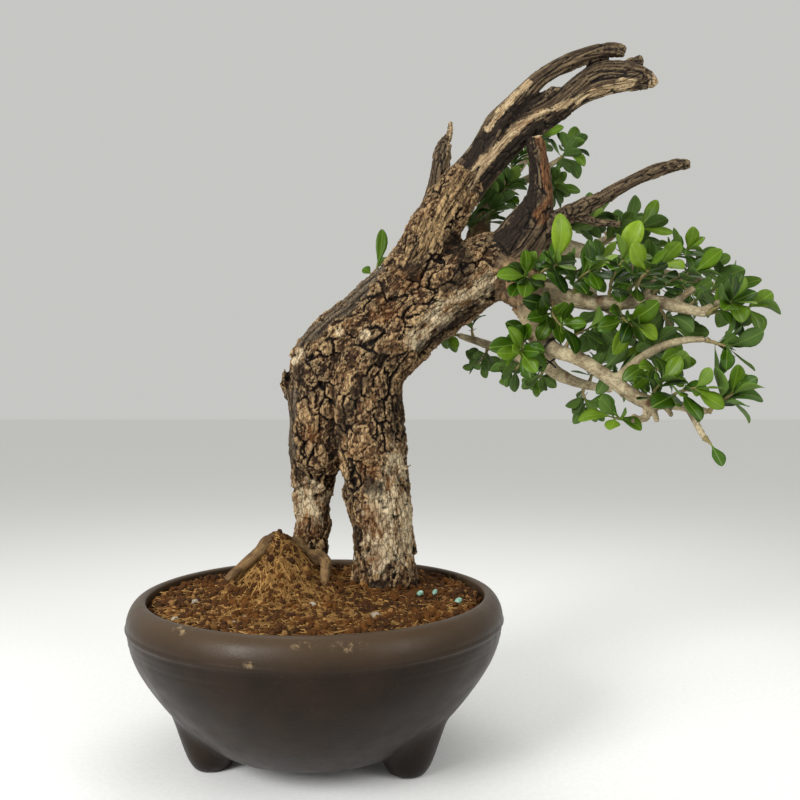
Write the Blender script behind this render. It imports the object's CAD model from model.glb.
# %% [markdown]
# # An olive bonsai, dressed for the camera
#
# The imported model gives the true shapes: a round stoneware pot, a leaning olive trunk and its leafy stems.
# Each step below replaces one of those plain solids with a finely modelled piece in the same place, and
# gives it a material that is named for what the real thing is made of. Sizes are millimetres in the pot's
# own frame, with the pot's axis at x = y = 0, its feet on z = 0 and the front at -Y.

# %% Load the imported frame
import math
import random
from collections import namedtuple

import bpy
import numpy as np
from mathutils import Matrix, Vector, noise
from mathutils.bvhtree import BVHTree


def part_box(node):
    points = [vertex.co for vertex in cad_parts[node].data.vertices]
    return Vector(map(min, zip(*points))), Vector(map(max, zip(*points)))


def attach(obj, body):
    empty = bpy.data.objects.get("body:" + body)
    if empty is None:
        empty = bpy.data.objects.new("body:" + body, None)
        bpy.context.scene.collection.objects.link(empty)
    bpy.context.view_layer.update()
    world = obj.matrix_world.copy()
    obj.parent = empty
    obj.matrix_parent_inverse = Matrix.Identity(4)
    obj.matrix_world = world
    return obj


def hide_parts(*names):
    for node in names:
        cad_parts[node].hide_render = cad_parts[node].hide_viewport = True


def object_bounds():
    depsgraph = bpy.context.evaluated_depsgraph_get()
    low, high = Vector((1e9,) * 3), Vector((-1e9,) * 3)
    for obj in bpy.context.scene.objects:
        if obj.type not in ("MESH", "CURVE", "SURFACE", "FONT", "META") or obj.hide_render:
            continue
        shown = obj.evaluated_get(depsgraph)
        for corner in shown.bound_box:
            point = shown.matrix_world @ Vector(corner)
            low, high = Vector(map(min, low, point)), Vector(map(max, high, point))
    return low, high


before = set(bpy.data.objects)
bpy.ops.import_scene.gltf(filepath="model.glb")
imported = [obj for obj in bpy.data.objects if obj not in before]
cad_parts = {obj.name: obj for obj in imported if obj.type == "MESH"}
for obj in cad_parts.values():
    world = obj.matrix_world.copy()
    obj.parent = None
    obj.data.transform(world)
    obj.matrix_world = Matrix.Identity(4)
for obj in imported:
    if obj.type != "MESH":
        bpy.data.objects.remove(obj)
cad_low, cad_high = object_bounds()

MM = 0.001
FINE = 1.0
bpy.ops.object.select_all(action="DESELECT")
pot_low, pot_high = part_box("pot")
POT_AXIS = np.array([(pot_low.x + pot_high.x) / 2, (pot_low.y + pot_high.y) / 2, 0.0])
print("the pot's axis stands at", POT_AXIS.round(4), "and the whole object is", (cad_high - cad_low)[:], "m")

# %% [markdown]
# ## Small tools
#
# Points are worked out in millimetres off the pot's axis and turned to metres once, when a mesh is made.
# Bulk changes go through numpy, because a mesh of a hundred thousand corners is slow to touch corner by
# corner.

# %% Meshes and selection
def placed(points):
    """Metres in the model's frame from millimetres off the pot's axis."""
    return np.asarray(points, float) * MM + POT_AXIS


def piece_from(name, corners, faces):
    """A new object from corners in millimetres and faces of corner numbers."""
    mesh = bpy.data.meshes.new(name)
    mesh.from_pydata(placed(corners).tolist(), [], faces)
    made = bpy.data.objects.new(name, mesh)
    bpy.context.scene.collection.objects.link(made)
    return made


def only(piece):
    """Select one object and make it the active one."""
    bpy.ops.object.select_all(action="DESELECT")
    piece.select_set(True)
    bpy.context.view_layer.objects.active = piece


def modify(piece, kind, **settings):
    """Add one modifier with its settings and apply it."""
    only(piece)
    step = piece.modifiers.new(kind.lower(), kind)
    for key, value in settings.items():
        setattr(step, key, value)
    bpy.ops.object.modifier_apply(modifier=step.name)


def corners_of(piece):
    """A mesh's corners in millimetres off the pot's axis."""
    flat = np.empty(len(piece.data.vertices) * 3)
    piece.data.vertices.foreach_get("co", flat)
    return (flat.reshape(-1, 3) - POT_AXIS) / MM


def normals_of(piece):
    """A mesh's corner normals."""
    flat = np.empty(len(piece.data.vertices) * 3)
    piece.data.vertices.foreach_get("normal", flat)
    return flat.reshape(-1, 3)


def move_corners(piece, corners):
    """Put a mesh's corners at new places in millimetres."""
    piece.data.vertices.foreach_set("co", placed(corners).ravel())
    piece.data.update()


def mark(piece, name, values):
    """Store one number a corner, for the material to read."""
    layer = piece.data.attributes.new(name, "FLOAT", "POINT")
    layer.data.foreach_set("value", np.asarray(values, np.float32))


def count_triangles(piece):
    return sum(len(face.vertices) - 2 for face in piece.data.polygons)


def dress(piece, slot, *nodes):
    """Let a finished piece ride with the model, name its finish and the nodes that it stands for."""
    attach(piece, "root")
    if nodes:
        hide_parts(*nodes)
    print(piece.name, "has", count_triangles(piece), "triangles")


def smooth_step(low, high, value):
    """0 below low, 1 above high, eased between them."""
    t = np.clip((value - low) / (high - low), 0, 1)
    return t * t * (3 - 2 * t)


# %% [markdown]
# Limbs, roots, twigs and the wire are all tubes along a curve. A curve is given by a few places and is
# smoothed so that it passes through every one of them. The rings of a tube are turned as little as they can
# be from one to the next, which keeps a tube from twisting in a bend.

# %% Curves and tubes
def smooth_path(points, step):
    """Rows along the smooth curve through the points, about one every step millimetres."""
    points = np.array(points, float)
    ends = np.vstack([2 * points[0] - points[1], points, 2 * points[-1] - points[-2]])
    rows = []
    for a, b, c, d in zip(ends, ends[1:], ends[2:], ends[3:]):
        count = max(1, round(np.linalg.norm((c - b)[:3]) / step))
        for t in np.arange(count) / count:
            bend = (2 * a - 5 * b + 4 * c - d) * t * t + (3 * b - a - 3 * c + d) * t ** 3
            rows.append(b + 0.5 * (c - a) * t + 0.5 * bend)
    rows.append(points[-1])
    return np.array(rows)


def ring_faces(rings):
    """Faces between rings of corner numbers that all have the same count."""
    faces = []
    for low, high in zip(rings, rings[1:]):
        for k in range(len(low)):
            after = (k + 1) % len(low)
            faces.append([low[k], low[after], high[after], high[k]])
    return faces


def tube_mesh(rows, sides):
    """Corners and faces of a closed tube through (x, y, z, radius) rows."""
    places = [Vector(row[:3]) for row in rows]
    verts = []
    rings = []
    across = (places[1] - places[0]).orthogonal().normalized()
    for k, row in enumerate(rows):
        along = (places[min(k + 1, len(rows) - 1)] - places[max(k - 1, 0)]).normalized()
        across = (across - along * across.dot(along)).normalized()
        over = along.cross(across)
        rings.append(list(range(len(verts), len(verts) + sides)))
        for s in range(sides):
            angle = 2 * math.pi * s / sides
            spoke = across * math.cos(angle) + over * math.sin(angle)
            verts.append(places[k] + spoke * row[3])
    faces = ring_faces(rings)
    faces += [rings[0][::-1], rings[-1]]
    return verts, faces


# %% [markdown]
# ## The camera, the floor and the light
#
# The tree is seen from a little above the middle of its trunk, half a metre away, with the camera held
# level. A level camera that looks slightly up through its shift keeps upright lines upright. One broad soft
# light stands to the front left and a weaker one to the front right, as two windows would. A third, weaker
# still, hangs high behind the tree and draws its edges out, and the pale world fills the shade.

# %% Camera
CAMERA_AT = (50, -497, 204)
SENSOR = 36         # millimetres
PICTURE = 800       # pixels across, for the two lengths below
FOCAL_PIXELS = 810
SHIFT_PIXELS = 14

camera_data = bpy.data.cameras.new("camera")
camera_data.lens = FOCAL_PIXELS / PICTURE * SENSOR
camera_data.sensor_width = SENSOR
camera_data.shift_y = SHIFT_PIXELS / PICTURE
camera = bpy.data.objects.new("camera", camera_data)
camera.location = placed(CAMERA_AT)
camera.rotation_euler = (math.pi / 2, 0, 0)
bpy.context.scene.collection.objects.link(camera)
bpy.context.scene.camera = camera
print("the lens is", round(camera_data.lens, 2), "mm")

# %% [markdown]
# Every colour is written as an sRGB hex value, as in a paint program, and one function turns it to the
# linear numbers that Blender works with. One more function adds a node, sets it and links it. Most finishes
# here are built as they are in life, as coats over a base: each coat lies where a noise or a number on the
# corners says.

# %% Material tools
def colour(code):
    """Linear colour from an sRGB hex value."""
    parts = [int(code[k:k + 2], 16) / 255 for k in (1, 3, 5)]
    linear = [c / 12.92 if c <= 0.04045 else ((c + 0.055) / 1.055) ** 2.4 for c in parts]
    return (*linear, 1)


def per_mm(size):
    """Noise scale, in features a metre, for features of a size in millimetres."""
    return 1 / (size * MM)


def new_material(name, roughness, **constants):
    """A Principled material: its constants go on the shader's own sockets."""
    made = bpy.data.materials.new(name)
    made.use_nodes = True
    shader = made.node_tree.nodes["Principled BSDF"]
    shader.inputs["Roughness"].default_value = roughness
    for key, value in constants.items():
        shader.inputs[key.replace("_", " ")].default_value = value
    return made, shader


def add(made, kind, sockets, output=0, **settings):
    """Add a node with its settings; each socket takes a value or another output. Gives one of its outputs."""
    tree = made.node_tree
    node = tree.nodes.new(kind)
    for key, value in settings.items():
        setattr(node, key, value)
    for key, value in sockets.items():
        if isinstance(value, bpy.types.NodeSocket):
            tree.links.new(value, node.inputs[key])
        else:
            node.inputs[key].default_value = value
    return node.outputs[output]


def paint(made, base, *coats):
    """Lay coats over a base colour, each as (what drives it, none at, full at, share, colour).

    A coat is driven by a node's output or by a number kept on the corners, which is given by its name.
    """
    base = colour(base) if isinstance(base, str) else base
    for driver, none_at, full_at, share, coat in coats:
        if isinstance(driver, str):
            driver = add(made, "ShaderNodeAttribute", {}, "Fac", attribute_name=driver)
        coat = colour(coat) if isinstance(coat, str) else coat
        amount = add(made, "ShaderNodeMapRange", {0: driver, 1: none_at, 2: full_at, 3: 0.0, 4: share})
        base = add(made, "ShaderNodeMix", {0: amount, 6: base, 7: coat}, 2, data_type="RGBA")
    return base


def pattern(made, size, detail=4.0, rough=0.55, stretch=(1, 1, 1), along_wood=False):
    """Noise with features of a size in millimetres, in the piece's own place or along its limbs."""
    if along_wood:
        where = add(made, "ShaderNodeAttribute", {}, "Vector", attribute_name="flow")
    else:
        where = add(made, "ShaderNodeTexCoord", {}, "Object")
    if stretch != (1, 1, 1):
        where = add(made, "ShaderNodeMapping", {"Vector": where, "Scale": stretch})
    return add(made, "ShaderNodeTexNoise", {
        "Vector": where, "Scale": per_mm(size), "Detail": detail, "Roughness": rough}, "Fac")


def finish_shader(made, shader, base=None, normal=None, roughness=None):
    """Link the last outputs of a material to its shader."""
    for socket, output in (("Base Color", base), ("Normal", normal), ("Roughness", roughness)):
        if output is not None:
            made.node_tree.links.new(output, shader.inputs[socket])
    return made


# %% Floor, world and lamps
FLOOR_SIZE = 60          # metres, so that its edge is out of view
WORLD_STRENGTH = 0.88

bpy.ops.mesh.primitive_plane_add(size=FLOOR_SIZE, location=(0, 0, 0))
floor = bpy.context.object
floor.name = "floor"
# Paper is matt and keeps a faint grain.
floor_paper, floor_shader = new_material("pale studio paper", 0.85)
paper_grain = pattern(floor_paper, 3)
paper = paint(floor_paper, "#f3f3f1", (paper_grain, 0.4, 0.6, 1, "#f7f7f5"))
floor.data.materials.append(finish_shader(floor_paper, floor_shader, paper))

world = bpy.data.worlds.new("studio")
world.use_nodes = True
world.node_tree.nodes["Background"].inputs["Color"].default_value = colour("#d2d2cf")
world.node_tree.nodes["Background"].inputs["Strength"].default_value = WORLD_STRENGTH
bpy.context.scene.world = world
bpy.context.scene.view_settings.view_transform = "Standard"   # hex colours show as written

# Each lamp as name, place, where it looks, width, height and power.
LAMPS = (
    ("window_left", (-620, -760, 620), (20, 0, 190), 0.4, 0.5, 11),
    ("window_right", (760, -560, 560), (60, 0, 160), 0.3, 0.6, 3),
    ("sky_behind", (80, 420, 900), (60, 0, 200), 0.7, 0.5, 2),
)
for name, place, aim, width, height, power in LAMPS:
    lamp_data = bpy.data.lights.new(name, "AREA")
    lamp_data.shape = "RECTANGLE"
    lamp_data.size, lamp_data.size_y, lamp_data.energy = width, height, power
    lamp = bpy.data.objects.new(name, lamp_data)
    lamp.location = placed(place)
    lamp.rotation_euler = (Vector(aim) - Vector(place)).to_track_quat("-Z", "Y").to_euler()
    bpy.context.scene.collection.objects.link(lamp)
print("camera and", len(LAMPS), "lamps are set")

# %% [markdown]
# ## The pot
#
# A bonsai pot of this kind is thrown on a wheel from brown clay and fired without a glaze, so its shape is
# a profile turned round an axis. The profile is drawn as loose edges and the spin operator turns it. The
# feet are then pulled down out of the bowl's underside, which leaves the soft fillets that a potter's thumb
# leaves.

# %% Bowl
BOWL_OUTSIDE = (
    (9, 8), (28, 8), (50, 8), (61, 10.5), (72, 17.5), (84, 29), (96, 44), (105, 58), (109.4, 68), (111.3, 76),
    (112.1, 81.5), (111.9, 86), (110, 91.2), (107, 94.8), (104, 96.2),
)
BOWL_LIP = ((102.2, 96.0), (101.2, 94.9), (101.2, 92))
BOWL_INSIDE = ((103.5, 80), (102.5, 66), (96, 52), (83, 35.5), (65, 21.5), (48, 16), (28, 16))
DRAIN_EDGE = (9, 16)   # the drain hole's upper edge; its lower edge is the first point of the outside
BOWL_STEPS = 160
PROFILE_STEPS = (1.2, 0.5, 2.5)   # between rows outside, on the lip and inside
# The ridge ring and the grooves, each as height, how proud and how wide.
RIDGES = ((81.4, 0.75, 0.9), (79.6, -0.4, 1.1), (73.6, 0.2, 0.7), (72.4, -0.2, 0.8))
UNDERSIDE = BOWL_OUTSIDE[:9]
UNDERSIDE_SKIN = 2.5   # how far over the outline a corner still belongs to the underside
UNDERSIDE_TOP = 60
FOOT_DIRECTIONS = (-33, -155, 86)
FOOT_CENTRE = 64
FOOT_SIZE = 8.8
FOOT_FLARE = (2.05, 0.85, 0.4)   # how far the fillet runs sideways, what is added outwards and taken inwards


def turn_bowl():
    """Spin the pot's profile into a closed shell with its drain hole."""
    outside_step, lip_step, inside_step = PROFILE_STEPS
    profile = smooth_path([(*p, 0) for p in BOWL_OUTSIDE], outside_step)
    lip = smooth_path([(*p, 0) for p in (BOWL_OUTSIDE[-1], *BOWL_LIP)], lip_step)[1:]
    inside = smooth_path([(*p, 0) for p in (BOWL_LIP[-1], *BOWL_INSIDE)], inside_step)[1:]
    rows = np.vstack([profile, lip, inside, [(*DRAIN_EDGE, 0)]])
    for height, proud, wide in RIDGES:
        outside = np.arange(len(rows)) < len(profile)
        rows[:, 0] += outside * proud * np.exp(-((rows[:, 1] - height) / wide) ** 2)
    mesh = bpy.data.meshes.new("stoneware_pot")
    loop = [(k, (k + 1) % len(rows)) for k in range(len(rows))]
    mesh.from_pydata(placed([(r, 0, z) for r, z, _ in rows]).tolist(), loop, [])
    bowl = bpy.data.objects.new("stoneware_pot", mesh)
    bpy.context.scene.collection.objects.link(bowl)
    only(bowl)
    bpy.ops.object.mode_set(mode="EDIT")
    bpy.ops.mesh.select_all(action="SELECT")
    bpy.ops.mesh.spin(steps=BOWL_STEPS, angle=2 * math.pi, center=tuple(POT_AXIS), axis=(0, 0, 1))
    bpy.ops.mesh.select_all(action="SELECT")
    bpy.ops.mesh.remove_doubles(threshold=0.02 * MM)
    bpy.ops.mesh.normals_make_consistent(inside=False)
    bpy.ops.object.mode_set(mode="OBJECT")
    return bowl


def pull_feet(bowl):
    """Draw three feet down out of the underside, each with a flare into the bowl."""
    corners = corners_of(bowl)
    radius = np.hypot(corners[:, 0], corners[:, 1])
    outer = np.interp(radius, [r for r, _ in UNDERSIDE], [z for _, z in UNDERSIDE])
    below = (corners[:, 2] < outer + UNDERSIDE_SKIN) & (corners[:, 2] < UNDERSIDE_TOP)
    for direction in FOOT_DIRECTIONS:
        angle = math.radians(direction)
        out = corners[:, 0] * math.cos(angle) + corners[:, 1] * math.sin(angle) - FOOT_CENTRE
        side = corners[:, 1] * math.cos(angle) - corners[:, 0] * math.sin(angle)
        away = np.hypot(out, side) / FOOT_SIZE
        lean = out / (away * FOOT_SIZE + 1e-6)
        end = FOOT_FLARE[0] + np.where(lean > 0, FOOT_FLARE[1], FOOT_FLARE[2]) * lean
        pull = (1 - smooth_step(1, end, away)) * below
        corners[:, 2] *= 1 - pull
    move_corners(bowl, corners)


bowl = turn_bowl()
pull_feet(bowl)
bowl.data.shade_smooth()
print("the bowl is", round(2 * corners_of(bowl)[:, 0].max(), 1), "mm across")

# %% [markdown]
# Unglazed stoneware is fired clay: brown, faintly mottled, with open pits and a satin surface that takes a
# broad soft highlight. Years of watering leave dust and chalky lime on the shoulder. The dust thickens with
# height. The lime is drawn where a few soft spots and a coarse noise are both strong, so that its edges
# break up.

# %% Brown stoneware
# Lime scuffs on the shoulder and inside the lip: place, then reach along x, y and z.
LIME_SPOTS = (
    ((26, -107, 92), (11, 7, 3.2)), ((-60, -88, 95), (9, 7, 2.8)), ((3, -110, 93), (8, 6, 2.2)),
    ((-21, -108, 84), (6, 6, 2.2)), ((88, 52, 93), (10, 10, 4)), ((95, 30, 91), (8, 9, 4)),
)
DUST_HEIGHTS = (78, 96)   # where the dust begins and where it is thickest


def spots(made, places):
    """How near a point is to any of a few soft ellipsoids, 1 in the middle and 0 outside."""
    where = add(made, "ShaderNodeTexCoord", {}, "Object")
    total = None
    for centre, reach in places:
        scale = [1 / (r * MM) for r in reach]
        shift = [-c * s for c, s in zip(placed(centre), scale)]
        local = add(made, "ShaderNodeMapping", {"Vector": where, "Location": shift, "Scale": scale})
        away = add(made, "ShaderNodeVectorMath", {0: local}, "Value", operation="LENGTH")
        near = add(made, "ShaderNodeMapRange", {0: away, 1: 1.0, 2: 0.2})
        if total is None:
            total = near
        else:
            total = add(made, "ShaderNodeMath", {0: total, 1: near}, operation="MAXIMUM")
    return total


def stoneware():
    """Fired clay without a glaze: a brown satin skin with fine pits, dusty and limed at the top."""
    made, shader = new_material("unglazed brown stoneware", 0.4, Specular_IOR_Level=0.16)
    mottle, fleck, pores = pattern(made, 26, 6), pattern(made, 1.6, 3), pattern(made, 1.1, 2)
    crust = add(made, "ShaderNodeMapRange", {0: pattern(made, 4, 8, 0.7), 1: 0.5, 2: 0.6})
    chalk = add(made, "ShaderNodeMath", {0: spots(made, LIME_SPOTS), 1: crust}, operation="MULTIPLY")
    height = add(made, "ShaderNodeSeparateXYZ", {0: add(made, "ShaderNodeTexCoord", {}, "Object")}, "Z")
    dust_from, dust_full = (placed((0, 0, z))[2] for z in DUST_HEIGHTS)
    dust = add(made, "ShaderNodeMapRange", {0: height, 1: dust_from, 2: dust_full})
    body = paint(
        made, "#180f08", (mottle, 0.35, 0.65, 1, "#23170d"), (fleck, 0.62, 0.78, 0.3, "#4c3a2a"),
        (dust, 0, 1, 0.42, "#6a5743"), (chalk, 0, 1, 0.7, "#9a8462"))
    broad = add(made, "ShaderNodeBump", {"Height": mottle, "Distance": 0.35 * MM, "Strength": 0.25})
    relief = add(made, "ShaderNodeBump", {
        "Height": pores, "Distance": 0.2 * MM, "Strength": 0.5, "Normal": broad})
    gloss = add(made, "ShaderNodeMapRange", {0: pattern(made, 12, 5), 1: 0.3, 2: 0.7, 3: 0.3, 4: 0.44})
    return finish_shader(made, shader, body, relief, gloss)


bowl.data.materials.append(stoneware())
dress(bowl, "stoneware", "pot")

# %% [markdown]
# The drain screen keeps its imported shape, a thin net over the hole, and only gets its own plastic.
# Polyethylene net is extruded, which leaves it black, smooth and a little waxy.

# %% Drain screen
screen_plastic, screen_shader = new_material("black polyethylene net", 0.5)
net_grain = pattern(screen_plastic, 0.8)
net_colour = paint(screen_plastic, "#161616", (net_grain, 0.3, 0.7, 1, "#222222"))
net_relief = add(screen_plastic, "ShaderNodeBump", {"Height": net_grain, "Distance": 0.05 * MM})
finish_shader(screen_plastic, screen_shader, net_colour, net_relief)
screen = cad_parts["drain_screen"]
screen.data.materials.clear()
screen.data.materials.append(screen_plastic)

# %% [markdown]
# ## The soil
#
# The pot is filled with baked clay granules of 2 to 4 mm under a mat of fine roots. Three things make it: a
# surface of low domes, loose grains scattered on it and thin roots laid over both. The surface starts as a
# flat grid that is wrapped to a disc, because a grid keeps its cells equal where a fan of rings would crowd
# them.

# %% Height of the soil
SOIL_RADIUS = 101.3
SOIL_LEVEL = 92.5
# The mound as heaps: each one's middle (x, y), its rise and its reach along x and y.
SOIL_HEAPS = ((-27, 2, 35, 27, 31), (41, 12, 7, 36, 30), (0, 30, 10, 45, 36))
SOIL_EDGE = 4    # how far the soil sinks beside the pot's wall
SOIL_RIM = 9     # and over which width
GRANULE = 3.4
GRANULE_HEIGHT = 1.3


def soil_height(x, y):
    """Height of the smooth soil over a point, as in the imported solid."""
    height = SOIL_LEVEL
    for cx, cy, rise, wide, deep in SOIL_HEAPS:
        height += rise * math.exp(-(((x - cx) / wide) ** 2 + ((y - cy) / deep) ** 2) * 1.6)
    return height + 0.8 * noise.noise(Vector((x, y, 0)) / 14)


def rim_drop(radius):
    """How far the soil has sunk towards the pot's wall, at a distance from the axis."""
    return SOIL_EDGE * (1 - smooth_step(SOIL_RADIUS, SOIL_RADIUS - SOIL_RIM, radius))


def granule_dome(x, y):
    """How far a packed granule stands up at a point, between 0 in a gap and 1 on top."""
    spot = Vector((x, y, 0)) / GRANULE + noise.noise_vector(Vector((x, y, 3)) / 5) * 0.3
    gaps, _ = noise.voronoi(spot)
    return max(0.0, 1 - (gaps[0] * 1.15) ** 2)


# %% Soil bed
SOIL_CELLS = round(150 / FINE)
# Below its edge the soil follows the pot's inside: (radius, height) down to its flat base.
SOIL_WALL = ((103.1, 80), (102.1, 66), (95.6, 52.3), (82.6, 35.8), (64.6, 21.8), (48, 18))


def disc_from_square(u, v):
    """Wrap a point of the square from -1 to 1 onto the unit disc, with cells kept about equal."""
    if abs(u) < 1e-9 and abs(v) < 1e-9:
        return 0.0, 0.0
    if abs(u) > abs(v):
        return u * math.cos(math.pi / 4 * v / u), u * math.sin(math.pi / 4 * v / u)
    return v * math.sin(math.pi / 4 * u / v), v * math.cos(math.pi / 4 * u / v)


def lay_soil():
    """The domed disc of soil, with its wall and base pulled out of the disc's edge."""
    bpy.ops.mesh.primitive_grid_add(
        x_subdivisions=SOIL_CELLS, y_subdivisions=SOIL_CELLS, size=2, location=(0, 0, 0))
    bed = bpy.context.object
    bed.name = bed.data.name = "soil_bed"
    flat = np.empty(len(bed.data.vertices) * 3)
    bed.data.vertices.foreach_get("co", flat)
    corners = np.zeros((len(bed.data.vertices), 3))
    domes = np.zeros(len(corners))
    for k, (u, v, _) in enumerate(flat.reshape(-1, 3)):
        x, y = (share * SOIL_RADIUS for share in disc_from_square(u, v))
        domes[k] = granule_dome(x, y)
        height = soil_height(x, y) + (domes[k] - 0.6) * GRANULE_HEIGHT - rim_drop(math.hypot(x, y))
        corners[k] = x, y, height
    move_corners(bed, corners)
    mark(bed, "dome", domes)
    only(bed)
    bpy.ops.object.mode_set(mode="EDIT")
    bpy.ops.mesh.select_all(action="DESELECT")
    bpy.ops.mesh.select_mode(type="EDGE")
    bpy.ops.mesh.select_non_manifold()
    radius, height = SOIL_RADIUS, SOIL_LEVEL - SOIL_EDGE
    for next_radius, next_height in SOIL_WALL:
        share = next_radius / radius
        bpy.ops.mesh.extrude_region_move(
            TRANSFORM_OT_translate={"value": (0, 0, (next_height - height) * MM)})
        bpy.ops.transform.resize(value=(share, share, 1), center_override=tuple(POT_AXIS))
        radius, height = next_radius, next_height
    bpy.ops.mesh.edge_face_add()
    bpy.ops.mesh.select_mode(type="VERT")
    bpy.ops.object.mode_set(mode="OBJECT")
    corners = corners_of(bed)
    base = SOIL_WALL[-1][1]
    corners[corners[:, 2] < base + 1, 2] = base
    move_corners(bed, corners)
    bed.data.shade_smooth()
    return bed


bed = lay_soil()
print("the soil rises to", round(corners_of(bed)[:, 2].max(), 1), "mm")

# %% [markdown]
# Loose grains are one crumb, modelled once and copied a few thousand times, each copy with its own place,
# size, turn and tone. The fine roots are thin three-sided tubes that wander over the surface.

# %% Loose grains
GRAIN_SEED = 11
GRAIN_COUNT = round(3600 / FINE)
GRAIN_SIZES = (0.8, 2.1)
WOOD_FEET = ((-9, 28, 11), (41, 14, 20))   # where the legs stand: x, y and radius


def on_open_soil(x, y, rim, overlap=0):
    """Whether a point lies that far inside the rim and outside the legs, or in a leg by overlap at most."""
    if math.hypot(x, y) > SOIL_RADIUS - rim:
        return False
    return all(math.hypot(x - a, y - b) >= r - overlap for a, b, r in WOOD_FEET)


def crumb():
    """One angular grain of baked clay about 2 mm across, as corners and faces."""
    bpy.ops.mesh.primitive_ico_sphere_add(subdivisions=1, radius=1)
    ball = bpy.context.object
    corners = np.array([v.co[:] for v in ball.data.vertices])
    faces = np.array([f.vertices[:] for f in ball.data.polygons])
    bpy.data.objects.remove(ball)
    return corners, faces


def random_turn(draws):
    """A random rotation as three rows."""
    a, b, c = (draws.uniform(0, 2 * math.pi) for _ in range(3))
    about_z = np.array([[math.cos(a), -math.sin(a), 0], [math.sin(a), math.cos(a), 0], [0, 0, 1]])
    about_x = np.array([[1, 0, 0], [0, math.cos(b), -math.sin(b)], [0, math.sin(b), math.cos(b)]])
    about_y = np.array([[math.cos(c), 0, math.sin(c)], [0, 1, 0], [-math.sin(c), 0, math.cos(c)]])
    return about_z @ about_x @ about_y


def scatter_grains():
    """Thousands of copies of the crumb, half sunk in the bed and joined as one piece."""
    draws = random.Random(GRAIN_SEED)
    ball, faces = crumb()
    all_corners, all_faces, tones = [], [], []
    while len(all_corners) < GRAIN_COUNT:
        radius = SOIL_RADIUS * math.sqrt(draws.random())
        angle = draws.uniform(0, 2 * math.pi)
        x, y = radius * math.cos(angle), radius * math.sin(angle)
        if not on_open_soil(x, y, 1.5):
            continue
        size = draws.uniform(*GRAIN_SIZES) * (1.3 if draws.random() < 0.12 else 1)
        shape = ball * [draws.uniform(0.7, 1.25) for _ in range(3)]
        dents = np.array([noise.noise(Vector(c) * 1.7 + Vector((x, y, 0))) for c in ball])
        shape = shape * (1 + 0.28 * dents)[:, None]
        rest = (x, y, soil_height(x, y) + size * draws.uniform(0.1, 0.8) - rim_drop(radius))
        all_faces.append(faces + len(all_corners) * len(ball))
        all_corners.append(shape @ random_turn(draws) * size + rest)
        tones += [draws.random()] * len(ball)
    grains = piece_from("soil_grains", np.vstack(all_corners), np.vstack(all_faces).tolist())
    mark(grains, "tone", tones)
    return grains


grains = scatter_grains()

# %% Fine roots on the soil
FIBRE_SEED = 5
FIBRE_COUNT = round(1700 / FINE)
FIBRE_SIZES = (0.15, 0.46)
FIBRE_STEP = 2.6
FIBRE_SOURCE = (-22, 10)   # the roots head away from this place in the mound
# Where the roots lie thickest, each as middle and spread along x and along y, and each heap's share.
FIBRE_HEAPS = (((-25, 18), (-6, 17)), ((4, 34), (-48, 20)), ((-40, 30), (-34, 26)), ((0, 60), (0, 55)))
FIBRE_SHARES = (0.22, 0.36, 0.2, 0.22)


def lay_fibres():
    """Thin roots that wander over the soil, thickest on and before the mound."""
    draws = random.Random(FIBRE_SEED)
    verts, faces, tones = [], [], []
    for number in range(FIBRE_COUNT):
        (x, wide), (y, deep) = draws.choices(FIBRE_HEAPS, FIBRE_SHARES)[0]
        x, y = draws.gauss(x, wide), draws.gauss(y, deep)
        heading = math.atan2(y - FIBRE_SOURCE[1], x - FIBRE_SOURCE[0]) + draws.gauss(0, 1.1)
        size = draws.uniform(*FIBRE_SIZES) * (1.7 if draws.random() < 0.1 else 1)
        steps = draws.randint(6, 15)
        rows = []
        for k in range(steps):
            if not on_open_soil(x, y, 3, overlap=2):
                break
            lift = 0.5 + 1.5 * abs(noise.noise(Vector((x, y, number)) / 5))
            rows.append((x, y, soil_height(x, y) + lift, size * (1 - 0.55 * k / steps)))
            heading += draws.gauss(0, 0.55)
            x += FIBRE_STEP * math.cos(heading)
            y += FIBRE_STEP * math.sin(heading)
        if len(rows) < 4:
            continue
        corners, sides = tube_mesh(rows, 3)
        faces += [[c + len(verts) for c in side] for side in sides]
        verts += corners
        tones += [draws.random()] * len(corners)
    fibres = piece_from("root_fibres", verts, faces)
    mark(fibres, "tone", tones)
    fibres.data.shade_smooth()
    return fibres


fibres = lay_fibres()

# %% [markdown]
# Slow fertiliser comes as pellets of a few millimetres in a coat of resin. Three of them lie on the soil.
# Each is the same crumb, larger, and one level of subdivision rounds its edges as the coat does.

# %% Fertiliser pellets
PELLETS = ((62, -14, 97.2, 2.3), (71, -10, 97.0, 2.1), (84, -26, 95.4, 2.7))   # x, y, z and size


def drop_pellets():
    """The three pellets, each turned its own way."""
    ball, faces = crumb()
    corners, all_faces = [], []
    for number, (x, y, z, size) in enumerate(PELLETS):
        turn = random_turn(random.Random(number))
        all_faces.append(faces + number * len(ball))
        corners.append((ball * (1.25, 0.9, 0.85)) @ turn * size + (x, y, z))
    pellets = piece_from("fertiliser_pellets", np.vstack(corners), np.vstack(all_faces).tolist())
    modify(pellets, "SUBSURF", levels=1, render_levels=1)
    pellets.data.shade_smooth()
    return pellets


pellets = drop_pellets()

# %% [markdown]
# Baked clay granules are matt and orange brown, darker where water stands between them. The roots are dry
# and straw coloured. The pellets' resin coat is the one thing here that has a slight gloss.

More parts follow.
